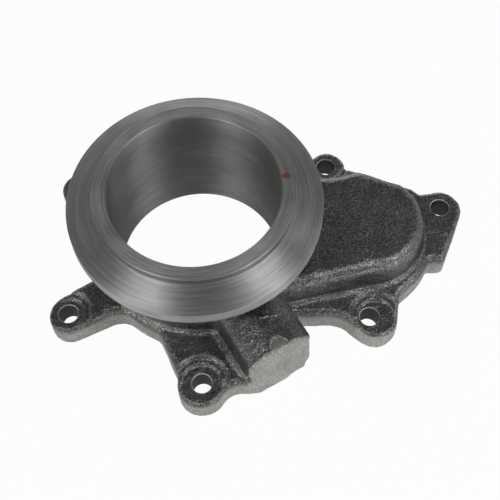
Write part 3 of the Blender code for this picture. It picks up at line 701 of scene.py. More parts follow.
@dataclass
class CastForm:
    """Draws the cast skin's distance field from its forms."""

    grid: Grid
    body: Body = field(default_factory=Body)
    boss: Boss = field(default_factory=Boss)
    chamber: Chamber = field(default_factory=Chamber)
    end: TurnedEnd = field(default_factory=TurnedEnd)
    waves: Waves = field(default_factory=Waves)
    foot: float = -2.4
    wave_band: float = 1.2

    def ear_reach(self, ear: Ear) -> np.ndarray:
        """Return each grid column's distance from the centre of an ear's rounded end."""
        return np.hypot(self.grid.x - ear.centre[0], self.grid.y - ear.centre[1])

    def base_field(self) -> np.ndarray:
        """Return the field of the base: pads, S-shaped walls, panel and rounded edges."""
        grid, body = self.grid, self.body
        plan = body.outline(self.boss).distance(grid.x, grid.y)
        top = np.full(plan.shape, body.panel, dtype=np.float32)
        for ear in body.ears:
            past = self.ear_reach(ear) - ear.radius
            way = body.inward(ear)
            inward = (grid.x - ear.centre[0]) * way.x + (grid.y - ear.centre[1]) * way.y
            ledge = ear.ledge * smooth_step(*body.ledge_turn, inward / self.ear_reach(ear))
            rise = ear.level + ledge * smooth_step(body.ledge_start, body.ledge_start + body.ledge_run, past)
            wall = smooth_step(body.wall_start, body.wall_start + ear.wall_run, past)
            top = np.minimum(top, rise + (body.panel - ear.level - ledge) * wall)
        slope_x, slope_y = np.gradient(top[:, :, 0], grid.voxel)
        steep = np.sqrt(1.0 + slope_x ** 2 + slope_y ** 2)[:, :, None]
        growth = body.panel_edge - body.pad_edge
        radius = body.pad_edge + growth * (top - body.pad) / (body.panel - body.pad)
        return round_both(plan, (grid.z - top) / steep, radius)

    def chamber_field(self) -> np.ndarray:
        """Return the field of the chamber's outer form, scalloped where the pads come near."""
        grid, chamber = self.grid, self.chamber
        plan = chamber.outline(self.body.panel_end, self.body.chamber_back).distance(grid.x, grid.y)
        draft = math.radians(chamber.draft_deg)
        foot = self.body.panel + chamber.foot_fillet
        side = (plan + np.maximum(grid.z - foot, 0.0) * math.tan(draft)) * math.cos(draft)
        for ear in self.body.ears:
            near = ear.radius + self.body.wall_start + self.body.wall_run - self.ear_reach(ear)
            side = round_both(side, near, chamber.scallop_radius)
        return round_both(side, grid.z - chamber.height, chamber.edge_radius)

    def neck_field(self) -> np.ndarray:
        """Return the field of the neck and the cast back of its flange."""
        grid, body, end = self.grid, self.body, self.end
        reach = np.hypot(grid.x, grid.y)
        lid = grid.z - (end.rim_bottom + body.neck_lap)
        angle = math.radians(body.back_angle_deg)
        below = (end.rim_bottom - (end.flange_radius - reach) * math.tan(angle) - grid.z) * math.cos(angle)
        flange = np.maximum(np.maximum(reach - (end.flange_radius - body.flange_inset), below), lid)
        return round_union(np.maximum(reach - body.neck, lid), flange, body.back_fillet)

    def boss_form(self, across: np.ndarray, out: np.ndarray, z: np.ndarray) -> np.ndarray:
        """Draw the boss with its burr, wrinkles and gate mark.

        Args:
            across: Distances across its face.
            out: Distances out from the bore's axis.
            z: Heights.

        Returns:
            The distances to the boss.
        """
        boss = self.boss
        section = boss.section().distance(*np.broadcast_arrays(across, z))
        lean = np.maximum(boss.shoulder_height - z, 0.0) * math.tan(math.radians(boss.draft_deg))
        set_back = np.maximum(boss.crest - z, 0.0) * math.tan(math.radians(boss.front_draft_deg))
        flat = np.broadcast_arrays(across, out)
        high = boss.plan(boss.corner_radius, boss.corner_radius).distance(*flat)
        middle = boss.plan(boss.foot_corner_radius, boss.corner_radius).distance(*flat)
        low = boss.plan(boss.foot_corner_radius, boss.foot_edge_radius).distance(*flat)
        plan = high + (middle - high) * smooth_step(*boss.foot_corner_heights, z)
        plan = plan + (low - middle) * smooth_step(*boss.foot_edge_heights, z)
        front = out + set_back - boss.reach
        plan = np.maximum(plan - lean, front)
        plan = np.where(out < boss.reach - boss.front_length, np.minimum(plan, section), plan)
        burr = boss.parting.burr(section, across, front)
        burr = np.where(np.abs(across - boss.side_shift) < boss.half_width - boss.corner_radius, burr, CLEAR)
        raised = np.minimum(burr, boss.parting.wrinkled(section, across, out + set_back))
        on_top = z > boss.shoulder_height
        form = np.minimum(np.maximum(section, plan), np.where(on_top, raised, CLEAR))
        gate = np.hypot(across - boss.gate_centre[0], out - boss.gate_centre[1]) - boss.gate_radius
        above = np.maximum(gate, -section - boss.gate_depth)
        return np.maximum(form, -np.where(on_top, above, CLEAR))

    def boss_field(self, whole: np.ndarray) -> np.ndarray:
        """Join the boss to the casting.

        Args:
            whole: The casting's field so far.

        Returns:
            The field with the boss and its flared left foot.
        """
        grid, boss = self.grid, self.boss
        angle = math.radians(boss.azimuth_deg)
        block = tuple(slice(*np.searchsorted(grid.axis(index), (boss.low[index], boss.high[index])))
                      for index in range(3))
        x, y, z = grid.x[block[0]], grid.y[:, block[1]], grid.z[:, :, block[2]]
        across = -x * math.sin(angle) + y * math.cos(angle)
        out = x * math.cos(angle) + y * math.sin(angle)
        flare = boss.foot_blend + (boss.flare - boss.foot_blend) * smooth_step(*boss.flare_across, across)
        blend = np.where(z > boss.neck_blend_height, boss.neck_blend, flare)
        whole[block] = round_union(whole[block], self.boss_form(across, out, z), blend)
        return whole

    def draw(self) -> np.ndarray:
        """Draw the whole cast skin.

        Returns:
            The field on the grid, negative inside the iron.
        """
        grid, chamber = self.grid, self.chamber
        whole = round_union(self.base_field(), self.chamber_field(), chamber.foot_fillet)
        whole = round_union(whole, self.neck_field(), self.body.neck_fillet)
        whole = self.boss_field(whole)
        reach = np.hypot(grid.x, grid.y)
        plan = chamber.outline(self.body.panel_end, self.body.chamber_back)
        hollow = plan.distance(grid.x, grid.y) + chamber.wall
        hollow = round_both(hollow, self.body.neck - reach, chamber.corner_radius)
        hollow = round_both(hollow, grid.z - (chamber.height - chamber.wall), chamber.corner_radius)
        whole = np.maximum(whole, -hollow)
        whole = np.maximum(whole, self.foot - grid.z)
        band = np.nonzero(np.abs(whole) < self.wave_band)
        points = [grid.axis(index)[band[index]] for index in range(3)]
        whole[band] += self.waves.at(*points)
        return whole


# Meshes


def axis_place() -> tuple[float, float]:
    """Return where the bore's axis stands in the row's frame, whose origin is under the box's centre."""
    points = np.array(Body().outline(Boss()).points)
    middle = (points.min(axis=0) + points.max(axis=0)) / 2.0
    return (-float(middle[0]), -float(middle[1]))


AXIS = axis_place()


def place(points: np.ndarray) -> np.ndarray:
    """Turn drawing millimetres into the row's frame in metres."""
    return (points + np.array([AXIS[0], AXIS[1], 0.0])) * MM


def new_object(name: str, data: bpy.types.ID) -> bpy.types.Object:
    """Make an object of a mesh, a lamp or a camera and link it to the scene."""
    made = bpy.data.objects.new(name, data)
    bpy.context.collection.objects.link(made)
    return made


def new_piece(name: str, points: np.ndarray, faces: list) -> bpy.types.Object:
    """Make an object from points in drawing millimetres.

    Args:
        name: The piece's name.
        points: Its points, one row each.
        faces: Its faces as lists of point numbers.

    Returns:
        The new object, linked to the scene.
    """
    mesh = bpy.data.meshes.new(name)
    mesh.from_pydata(place(np.asarray(points, dtype=float)).tolist(), [], faces)
    mesh.validate()
    return new_object(name, mesh)


def face_outward(piece: bpy.types.Object, merge: bool = False) -> None:
    """Turn a closed mesh's faces outward, once its doubled points are merged if asked."""
    shape = bmesh.new()
    shape.from_mesh(piece.data)
    if merge:
        bmesh.ops.remove_doubles(shape, verts=shape.verts, dist=MERGE_MM * MM)
    bmesh.ops.recalc_face_normals(shape, faces=shape.faces)
    if shape.calc_volume(signed=True) < 0.0:
        bmesh.ops.reverse_faces(shape, faces=shape.faces)
    shape.to_mesh(piece.data)
    shape.free()


def contour(name: str, values: np.ndarray, grid: Grid) -> bpy.types.Object:
    """Make the closed mesh of a distance field.

    Args:
        name: The piece's name.
        values: The field on the grid.
        grid: The grid.

    Returns:
        The new object.
    """
    reach = BAND_VOXELS * grid.voxel
    volume = openvdb.FloatGrid(reach)
    volume.copyFromArray(np.clip(values, -reach, reach).astype(np.float32))
    points, quads = volume.convertToQuads(0.0)
    piece = new_piece(name, points * grid.voxel + np.array(grid.low), quads.tolist())
    face_outward(piece)
    return piece


def revolve(name: str, profile: list[tuple[float, float]], centre: tuple[float, float], steps: int,
            closed: bool = True) -> bpy.types.Object:
    """Make a solid of revolution.

    Args:
        name: The piece's name.
        profile: Points as radius and height; a closed ring, or open from bottom to top with flat ends.
        centre: Where its axis stands.
        steps: How many sides it has.
        closed: Whether the profile closes on itself.

    Returns:
        The new object.
    """
    angles = FULL_TURN * np.arange(steps) / steps
    points = []
    for radius, height in profile:
        points += [(centre[0] + radius * math.cos(angle), centre[1] + radius * math.sin(angle), height)
                   for angle in angles]
    faces = []
    count = len(profile)
    for row in range(count if closed else count - 1):
        low, high = row * steps, (row + 1) % count * steps
        for step in range(steps):
            after = (step + 1) % steps
            faces.append((low + step, low + after, high + after, high + step))
    if not closed:
        faces.append(tuple(reversed(range(steps))))
        faces.append(tuple(range((count - 1) * steps, count * steps)))
    piece = new_piece(name, np.array(points), faces)
    face_outward(piece)
    return piece


def prism(name: str, outline: Outline, x_span: tuple[float, float]) -> bpy.types.Object:
    """Make a prism along X from an outline in Y and Z."""
    count = len(outline.points)
    points = [(x, y, z) for x in x_span for y, z in outline.points]
    faces = [tuple(range(count)), tuple(reversed(range(count, 2 * count)))]
    faces += [(step, step + count, (step + 1) % count + count, (step + 1) % count) for step in range(count)]
    piece = new_piece(name, np.array(points), faces)
    face_outward(piece, merge=True)
    return piece


def apply_modifiers(piece: bpy.types.Object) -> None:
    """Apply a piece's modifiers to its mesh."""
    graph = bpy.context.evaluated_depsgraph_get()
    mesh = bpy.data.meshes.new_from_object(piece.evaluated_get(graph), depsgraph=graph)
    piece.modifiers.clear()
    piece.data = mesh


def cut_by(piece: bpy.types.Object, tool: bpy.types.Object) -> None:
    """Cut a piece by a tool, whose finish stays on the cut, and delete the tool."""
    modifier = piece.modifiers.new(tool.name, "BOOLEAN")
    modifier.operation = "DIFFERENCE"
    modifier.solver = "MANIFOLD"
    modifier.object = tool
    if tool.data.materials:
        modifier.material_mode = "TRANSFER"
    apply_modifiers(piece)
    bpy.data.objects.remove(tool)


def shade(piece: bpy.types.Object, sharp_deg: float) -> None:
    """Shade a piece smooth, with its edges sharp from an angle on."""
    piece.data.shade_smooth()
    piece.data.set_sharp_from_angle(angle=math.radians(sharp_deg))


# Finishes

Socket = bpy.types.NodeSocket
Value = float | tuple | Socket


class Nodes:
    """Builds one node tree, with short calls for the nodes that the finishes and the world share."""

    def __init__(self, owner: bpy.types.Material | bpy.types.World) -> None:
        """Take up the node tree of a new material or world.

        Args:
            owner: The material, which starts with a Principled shader, or the world.
        """
        owner.use_nodes = True
        self.owner = owner
        self.tree = owner.node_tree
        self.shader = self.tree.nodes.get("Principled BSDF")

    def add(self, kind: str, **values) -> bpy.types.Node:
        """Add a node and set its properties.

        Args:
            kind: Blender's type name of the node.
            **values: Properties of the node by name.

        Returns:
            The node.
        """
        node = self.tree.nodes.new(kind)
        for name, value in values.items():
            setattr(node, name, value)
        return node

    def link(self, source: Value, target: Socket) -> None:
        """Link an output to an input, or set the input to a plain value."""
        if isinstance(source, Socket):
            self.tree.links.new(source, target)
        else:
            target.default_value = source

    def feed(self, name: str, value: Value) -> None:
        """Give the Principled shader's input a value or a link."""
        self.link(value, self.shader.inputs[name])

    def place(self) -> Socket:
        """Return the surface's position in its own object's metres."""
        return self.add("ShaderNodeTexCoord").outputs["Object"]

    def split(self, vector: Socket) -> tuple[Socket, ...]:
        """Return a vector's three parts."""
        node = self.add("ShaderNodeSeparateXYZ")
        self.link(vector, node.inputs["Vector"])
        return (node.outputs["X"], node.outputs["Y"], node.outputs["Z"])

    def from_axis(self, place: Socket) -> tuple[Socket, ...]:
        """Return a position's three parts, measured from the bore's axis, in metres."""
        x, y, z = self.split(place)
        return (self.math("SUBTRACT", x, AXIS[0] * MM), self.math("SUBTRACT", y, AXIS[1] * MM), z)

    def noise(self, vector: Socket, size: float, detail: float = 2.0, roughness: float = 0.5) -> Socket:
        """Return the value of a noise of a size in millimetres."""
        node = self.add("ShaderNodeTexNoise")
        self.link(vector, node.inputs["Vector"])
        for name, number in (("Scale", 1.0 / (size * MM)), ("Detail", detail), ("Roughness", roughness)):
            node.inputs[name].default_value = number
        return node.outputs["Fac"]

    def stretched(self, vector: Socket, factors: tuple[float, float, float]) -> Socket:
        """Return a position scaled along each axis, so that a noise on it is drawn out."""
        node = self.add("ShaderNodeVectorMath", operation="MULTIPLY")
        self.link(vector, node.inputs[0])
        self.link(factors, node.inputs[1])
        return node.outputs["Vector"]

    def ramp(self, value: Value, low: float, high: float, start: float, end: float,
             kind: str = "LINEAR") -> Socket:
        """Return a value carried from one range to another and held at its ends."""
        node = self.add("ShaderNodeMapRange", interpolation_type=kind)
        self.link(value, node.inputs["Value"])
        for name, number in (("From Min", low), ("From Max", high), ("To Min", start), ("To Max", end)):
            node.inputs[name].default_value = number
        return node.outputs["Result"]

    def math(self, operation: str, first: Value, second: Value = 0.0) -> Socket:
        """Return the result of a sum of one or two values."""
        node = self.add("ShaderNodeMath", operation=operation)
        self.link(first, node.inputs[0])
        self.link(second, node.inputs[1])
        return node.outputs["Value"]

    def weighted(self, *parts: tuple) -> Socket:
        """Return the sum of values times their weights, given in pairs."""
        first, *others = [self.math("MULTIPLY", value, weight) for value, weight in parts]
        for other in others:
            first = self.math("ADD", first, other)
        return first

    def length(self, x: Socket, y: Socket) -> Socket:
        """Return the length of a way given by its two parts."""
        square = self.math("ADD", self.math("MULTIPLY", x, x), self.math("MULTIPLY", y, y))
        return self.math("SQRT", square)

    def away(self, x: Socket, y: Socket, point: tuple[float, float]) -> Socket:
        """Return the distance, in metres, from a point given in millimetres."""
        return self.length(self.math("SUBTRACT", x, point[0] * MM), self.math("SUBTRACT", y, point[1] * MM))

    def tint(self, share: Socket, first: Value, second: Value) -> Socket:
        """Return a colour between two colours."""
        node = self.add("ShaderNodeMix", data_type="RGBA")
        self.link(share, node.inputs["Factor"])
        for name, colour in (("A", first), ("B", second)):
            self.link((*colour, 1.0) if isinstance(colour, tuple) else colour, node.inputs[name])
        return node.outputs["Result"]

    def bump(self, height: Socket, depth: float) -> Socket:
        """Return the normal of a surface that carries a relief of a depth in millimetres."""
        node = self.add("ShaderNodeBump")
        node.inputs["Strength"].default_value = 1.0
        node.inputs["Distance"].default_value = depth * MM
        self.link(height, node.inputs["Height"])
        return node.outputs["Normal"]


def darker(colour: tuple[float, float, float], share: float) -> tuple[float, ...]:
    """Return a colour with each part cut to a share of it."""
    return tuple(share * part for part in colour)


@dataclass(frozen=True)
class CastSkin:
    """Shot-blasted sand-cast iron: dark, with a fine grain whose bright specks are partly painted glints."""

    dark: tuple[float, float, float] = (0.125, 0.127, 0.123)
    # The light colour is partly the grain's own tone and partly painted glints on its bright specks.
    light: tuple[float, float, float] = (0.55, 0.555, 0.541)
    # The ground colour is partly the ground walls' own tone and partly a painted sheen that lightens upright
    # walls as the white floor's light would.
    ground_and_sheen: tuple[float, float, float] = (0.78, 0.783, 0.734)
    grain: float = 0.85
    speck: float = 0.5
    grain_depth: float = 0.32
    skin_span: tuple[float, float] = (0.45, 0.66)
    patch: float = 14.0
    patch_weight: float = 0.15
    streak: float = 0.8
    streak_stretch: tuple[float, float, float] = (1.0, 1.0, 0.3)
    streak_relief: float = 0.35
    ground_and_sheen_span: tuple[float, float] = (0.41, 0.59)
    ground_and_sheen_dark: float = 0.42
    ground_and_sheen_metallic: float = 0.45
    roughness: tuple[float, float] = (0.42, 0.26)
    boss: Boss = Boss()
    pad: float = 12.0
    upright: tuple[float, float] = (0.25, 0.5)
    ground_and_sheen_below_pad: tuple[float, float] = (4.0, 0.7)
    low_share: float = 0.93
    face_depth: tuple[float, float] = (2.2, 1.4)
    lip_depth: tuple[float, float] = (1.7, 1.1)
    lip_share: float = 0.9
    top_rise: float = 0.5
    gate_edge: float = 0.8
    gate_share: float = 0.7

    def make(self) -> bpy.types.Material:
        """Return the finish's material."""
        nodes = Nodes(bpy.data.materials.new("cast_iron_skin"))
        place = nodes.place()
        grain = nodes.noise(place, self.grain, 3.0, 0.6)
        speck = nodes.noise(place, self.speck, 1.0)
        patches = nodes.noise(place, self.patch, 3.0)
        uneven = nodes.math("SUBTRACT", patches, 0.5)
        share = nodes.weighted((grain, 0.5), (speck, 0.5), (uneven, self.patch_weight))
        # Painted glints: the brightest grain specks take the light colour, partly the grain's own tone.
        colour = nodes.tint(nodes.ramp(share, *self.skin_span, 0.0, 1.0), self.dark, self.light)
        # Painted sheen: the ground walls take a lighter, less metallic colour, partly their own ground
        # finish.
        ground_and_sheen = self.ground_and_sheen_share(nodes, place)
        streaks = nodes.noise(nodes.stretched(place, self.streak_stretch), self.streak, 3.0, 0.7)
        mottle = nodes.weighted((streaks, 0.4), (patches, 0.2), (speck, 0.4))
        fettled_and_sheen = nodes.tint(nodes.ramp(mottle, *self.ground_and_sheen_span, 0.0, 1.0),
                             darker(self.ground_and_sheen, self.ground_and_sheen_dark), self.ground_and_sheen)
        nodes.feed("Base Color", nodes.tint(ground_and_sheen, colour, fettled_and_sheen))
        nodes.feed("Metallic", nodes.ramp(ground_and_sheen, 0.0, 1.0, 1.0, self.ground_and_sheen_metallic))
        nodes.feed("Roughness", nodes.ramp(speck, 0.3, 0.7, *self.roughness))
        relief = nodes.tint(ground_and_sheen, share, nodes.math("MULTIPLY", streaks, self.streak_relief))
        nodes.feed("Normal", nodes.bump(relief, self.grain_depth))
        return nodes.owner

    def ground_and_sheen_share(self, nodes: Nodes, place: Socket) -> Socket:
        """Return where the skin is ground and lightened by painted sheen: upright walls below the pads' tops,
        the boss's face and its gate.

        Args:
            nodes: The material's nodes.
            place: The surface's position.

        Returns:
            A value that is 1 on a ground wall lightened by painted sheen and 0 on the skin.
        """
        boss, top = self.boss, self.boss.shoulder_height
        facing = nodes.split(nodes.add("ShaderNodeTexCoord").outputs["Normal"])
        x, y, z = nodes.from_axis(place)
        # The lightening follows the walls' facing: upright walls get the painted sheen.
        upright = nodes.ramp(nodes.math("ABSOLUTE", facing[2]), *self.upright, 1.0, 0.0)
        start, end = ((self.pad - below) * MM for below in self.ground_and_sheen_below_pad)
        low = nodes.ramp(z, start, end, self.low_share, 0.0)
        angle = math.radians(boss.azimuth_deg)
        out = nodes.weighted((x, math.cos(angle)), (y, math.sin(angle)))
        face, lip = (nodes.ramp(out, *((boss.reach - depth) * MM for depth in depths), 0.0, share)
                     for depths, share in ((self.face_depth, 1.0), (self.lip_depth, self.lip_share)))
        wall = nodes.math("MULTIPLY", upright, nodes.math("MAXIMUM", low, face))
        high = nodes.ramp(z, top * MM, (top + self.top_rise) * MM, 0.0, 1.0)
        wall = nodes.math("MAXIMUM", wall, nodes.math("MULTIPLY", lip, high))
        gap = nodes.away(x, y, boss.point(*boss.gate_centre))
        edge = (boss.gate_radius - self.gate_edge) * MM
        inside = nodes.ramp(gap, edge, boss.gate_radius * MM, self.gate_share, 0.0)
        return nodes.math("MAXIMUM", wall, nodes.math("MULTIPLY", inside, high))


@dataclass(frozen=True)
class RustSpot:
    """A small rust stain: its place in drawing millimetres, its size and its strength."""

    place: tuple[float, float]
    radius: float
    strength: float


@dataclass(frozen=True)
class TurnedIron:
    """Turned iron: bare grey metal with fine rings about the bore's axis."""

    name: str = "machined_iron"
    colour: tuple[float, float, float] = (0.69, 0.697, 0.685)
    worn: tuple[float, float, float] = (0.37, 0.377, 0.37)
    rust: tuple[float, float, float] = (0.24, 0.05, 0.028)
    spots: tuple[RustSpot, ...] = ()
    metallic: float = 0.9
    roughness: float = 0.47
    anisotropic: float = 0.9
    pitch: float = 0.38
    scratch_length: float = 16.0
    broad_pitch: float = 2.6
    broad_length: float = 40.0
    patch: float = 16.0
    weights: tuple[float, float, float] = (0.6, 0.12, 0.28)
    span: tuple[float, float] = (0.37, 0.63)
    ring_roughness: float = 0.12
    ring_depth: float = 0.03
    tangent_turn: float = 0.25
    spot_ragged: float = 1.3
    spot_swing: float = 1.6
    spot_lap: float = 0.8
    spot_edge: tuple[float, float] = (-0.5, 0.2)

    def make(self) -> bpy.types.Material:
        """Return the finish's material."""
        nodes = Nodes(bpy.data.materials.new(self.name))
        place = nodes.place()
        parts = nodes.from_axis(place)
        reach = nodes.length(parts[0], parts[1])
        rings = self.turned_noise(nodes, parts, reach, self.pitch, self.scratch_length)
        broad = self.turned_noise(nodes, parts, reach, self.broad_pitch, self.broad_length)
        patches = nodes.noise(place, self.patch, 3.0)
        share = nodes.weighted(*zip((rings, broad, patches), self.weights))
        colour = nodes.tint(nodes.ramp(share, *self.span, 0.0, 1.0), self.worn, self.colour)
        nodes.feed("Metallic", self.metallic)
        if self.spots:
            stain = self.stain(nodes, place, parts)
            colour = nodes.tint(stain, colour, self.rust)
            nodes.feed("Metallic", nodes.ramp(stain, 0.0, 1.0, self.metallic, 0.0))
        nodes.feed("Base Color", colour)
        base = self.roughness - 0.5 * self.ring_roughness
        nodes.feed("Roughness", nodes.math("ADD", nodes.math("MULTIPLY", rings, self.ring_roughness), base))
        nodes.feed("Anisotropic", self.anisotropic)
        nodes.feed("Anisotropic Rotation", self.tangent_turn)
        tangent = nodes.add("ShaderNodeTangent", direction_type="RADIAL", axis="Z")
        nodes.feed("Tangent", tangent.outputs["Tangent"])
        nodes.feed("Normal", nodes.bump(rings, self.ring_depth))
        return nodes.owner

    def stain(self, nodes: Nodes, place: Socket, parts: tuple) -> Socket:
        """Return the share of rust on the surface.

        Args:
            nodes: The material's nodes.
            place: The surface's position.
            parts: The position's three parts from the bore's axis, in metres.

        Returns:
            A value between 0, bare metal, and the strongest stain's strength.
        """
        ragged = nodes.math("MULTIPLY", nodes.noise(place, self.spot_ragged), self.spot_swing * MM)
        found = 0.0
        for spot in self.spots:
            gap = nodes.math("ADD", nodes.away(parts[0], parts[1], spot.place), ragged)
            start, end = ((spot.radius + self.spot_lap + step) * MM for step in self.spot_edge)
            found = nodes.math("MAXIMUM", nodes.ramp(gap, start, end, spot.strength, 0.0), found)
        return found

    @staticmethod
    def turned_noise(nodes: Nodes, parts: tuple, reach: Socket, pitch: float, length: float) -> Socket:
        """Return a noise drawn out round the bore's axis, as a lathe tool leaves it.

        Args:
            nodes: The material's nodes.
            parts: The position's three parts from the axis, in metres.
            reach: Its distance from the axis, in metres.
            pitch: The noise's size across the tool marks, in millimetres.
            length: Its size along them, at the bore's wall.

        Returns:
            The noise's value.
        """
        out_x, out_y, height = parts
        around = BORE_SCALE / length
        merge = nodes.add("ShaderNodeCombineXYZ")
        for name, value in (("X", reach), ("Y", height)):
            nodes.link(nodes.math("MULTIPLY", value, 1.0 / (pitch * MM)), merge.inputs[name])
        cosine, sine = nodes.math("DIVIDE", out_x, reach), nodes.math("DIVIDE", out_y, reach)
        nodes.link(nodes.math("MULTIPLY", cosine, around), merge.inputs["Z"])
        node = nodes.add("ShaderNodeTexNoise", noise_dimensions="4D")
        nodes.link(merge.outputs["Vector"], node.inputs["Vector"])
        nodes.link(nodes.math("MULTIPLY", sine, around), node.inputs["W"])
        node.inputs["Scale"].default_value = 1.0
        node.inputs["Detail"].default_value = 2.0
        return node.outputs["Fac"]


@dataclass(frozen=True)
class FacedIron:
    """Milled and drilled iron: the joint face and the bolt holes; its default dark colour is painted shade
    for the insides of the holes and the port.
    """

    name: str = "shaded_faced_iron"
    # Painted shade: this dark colour stands for the shade inside the bolt holes and the port, not the iron's
    # own tone.
    colour: tuple[float, float, float] = (0.17, 0.172, 0.17)
    dark_share: float = 0.8
    metallic: float = 0.8
    roughness: tuple[float, float] = (0.32, 0.5)
    fine: float = 0.5
    patch: float = 12.0
    depth: float = 0.02

    def make(self) -> bpy.types.Material:
        """Return the finish's material."""
        nodes = Nodes(bpy.data.materials.new(self.name))
        place = nodes.place()
        fine = nodes.noise(place, self.fine)
        patches = nodes.noise(place, self.patch)
        nodes.feed("Base Color", nodes.tint(patches, darker(self.colour, self.dark_share), self.colour))
        nodes.feed("Metallic", self.metallic)
        nodes.feed("Roughness", nodes.ramp(fine, 0.3, 0.7, *self.roughness))
        nodes.feed("Normal", nodes.bump(fine, self.depth))
        return nodes.owner


# Pieces


@dataclass
class CastBody:
    """The casting with its as-cast skin, drilled holes and milled joint face."""

    form: CastForm
    skin: CastSkin = field(default_factory=CastSkin)
    faced: FacedIron = FacedIron()
    # The edge break round each bolt hole is partly bare machined iron and partly a painted highlight: its
    # colour is brighter than the turned iron's.
    edge: FacedIron = FacedIron(name="hole_edge_painted_highlight_iron", colour=(0.92, 0.92, 0.9), metallic=0.4)
    most_triangles: int = 190000
    sharp_deg: float = 38.0
    hole: float = 4.5
    hole_break: float = 0.3
    hole_opening: float = 0.5
    past: float = 4.0
    facing: tuple[float, float] = (150.0, 6.0)
    facing_centre: tuple[float, float] = (20.0, 0.0)
    facing_sides: int = 8
    hole_sides: int = 64

    def build(self) -> bpy.types.Object:
        """Contour the skin, thin its mesh and cut the machined surfaces.

        Returns:
            The finished piece.
        """
        piece = contour("cast_body", self.form.draw(), self.form.grid)
        LOG.info("contoured with %d points", len(piece.data.vertices))
        thin = piece.modifiers.new("thin", "DECIMATE")
        thin.ratio = min(1.0, self.most_triangles / (2.0 * len(piece.data.polygons)))
        apply_modifiers(piece)
        piece.data.materials.append(self.skin.make())
        finishes = (self.faced.make(), self.edge.make())
        for tool in self.cutters():
            for finish in finishes:
                tool.data.materials.append(finish)
            cut_by(piece, tool)
        shade(piece, self.sharp_deg)
        return piece

    def cutters(self) -> list[bpy.types.Object]:
        """Return the cutters of the joint face, the bore's clearance, the port and the bolt holes."""
        body, end = self.form.body, self.form.end
        radius, depth = self.facing
        seat, past, brk = end.bore + end.liner, self.past, self.hole_break
        facing = [(radius, -depth), (radius, 0.0)]
        tools = [
            revolve("facing_cutter", facing, self.facing_centre, self.facing_sides, closed=False),
            revolve("seat_cutter", [(seat, -past), (seat, end.top)], (0.0, 0.0), end.steps, closed=False),
            port_cutter(),
        ]
        for ear in body.ears:
            profile = [(self.hole, -past), (self.hole, ear.level - brk),
                       (self.hole + brk, ear.level), (self.hole + self.hole_opening, ear.level + past)]
            tool = revolve("bolt_cutter", profile, ear.hole, self.hole_sides, closed=False)
            for face in tool.data.polygons:
                # The edge break gets the bright finish, partly a painted highlight.
                if ear.level - brk < face.center.z / MM < ear.level:
                    face.material_index = 1
            tools.append(tool)
        return tools

    def dress(self, piece: bpy.types.Object) -> None:
        """Let the piece stand for the casting and ride with it."""
        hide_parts(NODE)
        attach(piece, "root")


def port_cutter() -> bpy.types.Object:
    """Return the cutter of the passage between the bore and the chamber's hollow."""
    half, radius, top, foot = 7.5, 4.0, 9.0, -8.0
    corners = ((half, top), (-half, top), (-half, foot), (half, foot))
    return prism("port_cutter", Outline([Arc(y, z, radius) for y, z in corners]), (31.0, 50.0))


class TurnedFace(Enum):
    """The turned end's surfaces, by the place of each one's finish in its list."""

    BORE = 1
    ANNULUS = 2
    UPRIGHT = 3


@dataclass
class TurnedPiece:
    """The turned clamp end as a piece."""

    end: TurnedEnd
    finish: TurnedIron = TurnedIron()
    # Painted shade: the bore's colour is darker than the same turned iron outside, for the shade inside the
    # bore.
    bored: TurnedIron = TurnedIron(
        name="shaded_bored_iron", colour=(0.51, 0.515, 0.498), worn=(0.30, 0.304, 0.295),
        roughness=0.54, anisotropic=0.95)
    faced: TurnedIron = TurnedIron(
        name="faced_annulus_iron", colour=(0.70, 0.707, 0.69), worn=(0.34, 0.345, 0.335),
        metallic=0.72, roughness=0.42, anisotropic=0.8,
        spots=(RustSpot((40.35, 5.55), 2.0, 0.9), RustSpot((-39.25, 18.58), 0.7, 0.6)))
    # Painted shade: the spigot's upright wall is the same turned iron, coloured darker where it looks shaded.
    upright: TurnedIron = TurnedIron(
        name="shaded_turned_wall_iron", colour=(0.46, 0.465, 0.455), worn=(0.24, 0.244, 0.24),
        roughness=0.3, anisotropic=0.6)
    sharp_deg: float = 50.0
    margin: float = 0.03
    spigot_margin: float = 0.1
    upright_slope: float = 0.3

    def build(self) -> bpy.types.Object:
        """Turn the end and open its port.

        Returns:
            The finished piece.
        """
        piece = revolve("turned_end", self.end.profile(), (0.0, 0.0), self.end.steps)
        for finish in (self.finish, self.bored, self.faced, self.upright):
            piece.data.materials.append(finish.make())
        for face in piece.data.polygons:
            reach = math.hypot(face.center.x - AXIS[0] * MM, face.center.y - AXIS[1] * MM)
            # The bore's wall takes the darker finish, painted shade.
            if reach < (self.end.bore + self.margin) * MM:
                face.material_index = TurnedFace.BORE.value
            elif face.center.z > (self.end.top - self.margin) * MM:
                face.material_index = TurnedFace.ANNULUS.value
            # The spigot's upright wall takes the darker finish, painted shade.
            elif (abs(face.normal.z) < self.upright_slope
                  and reach < (self.end.spigot_radius + self.spigot_margin) * MM):
                face.material_index = TurnedFace.UPRIGHT.value
        cut_by(piece, port_cutter())
        shade(piece, self.sharp_deg)
        return piece

    def dress(self, piece: bpy.types.Object) -> None:
        """Let the piece ride with the casting."""
        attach(piece, "root")


# Studio


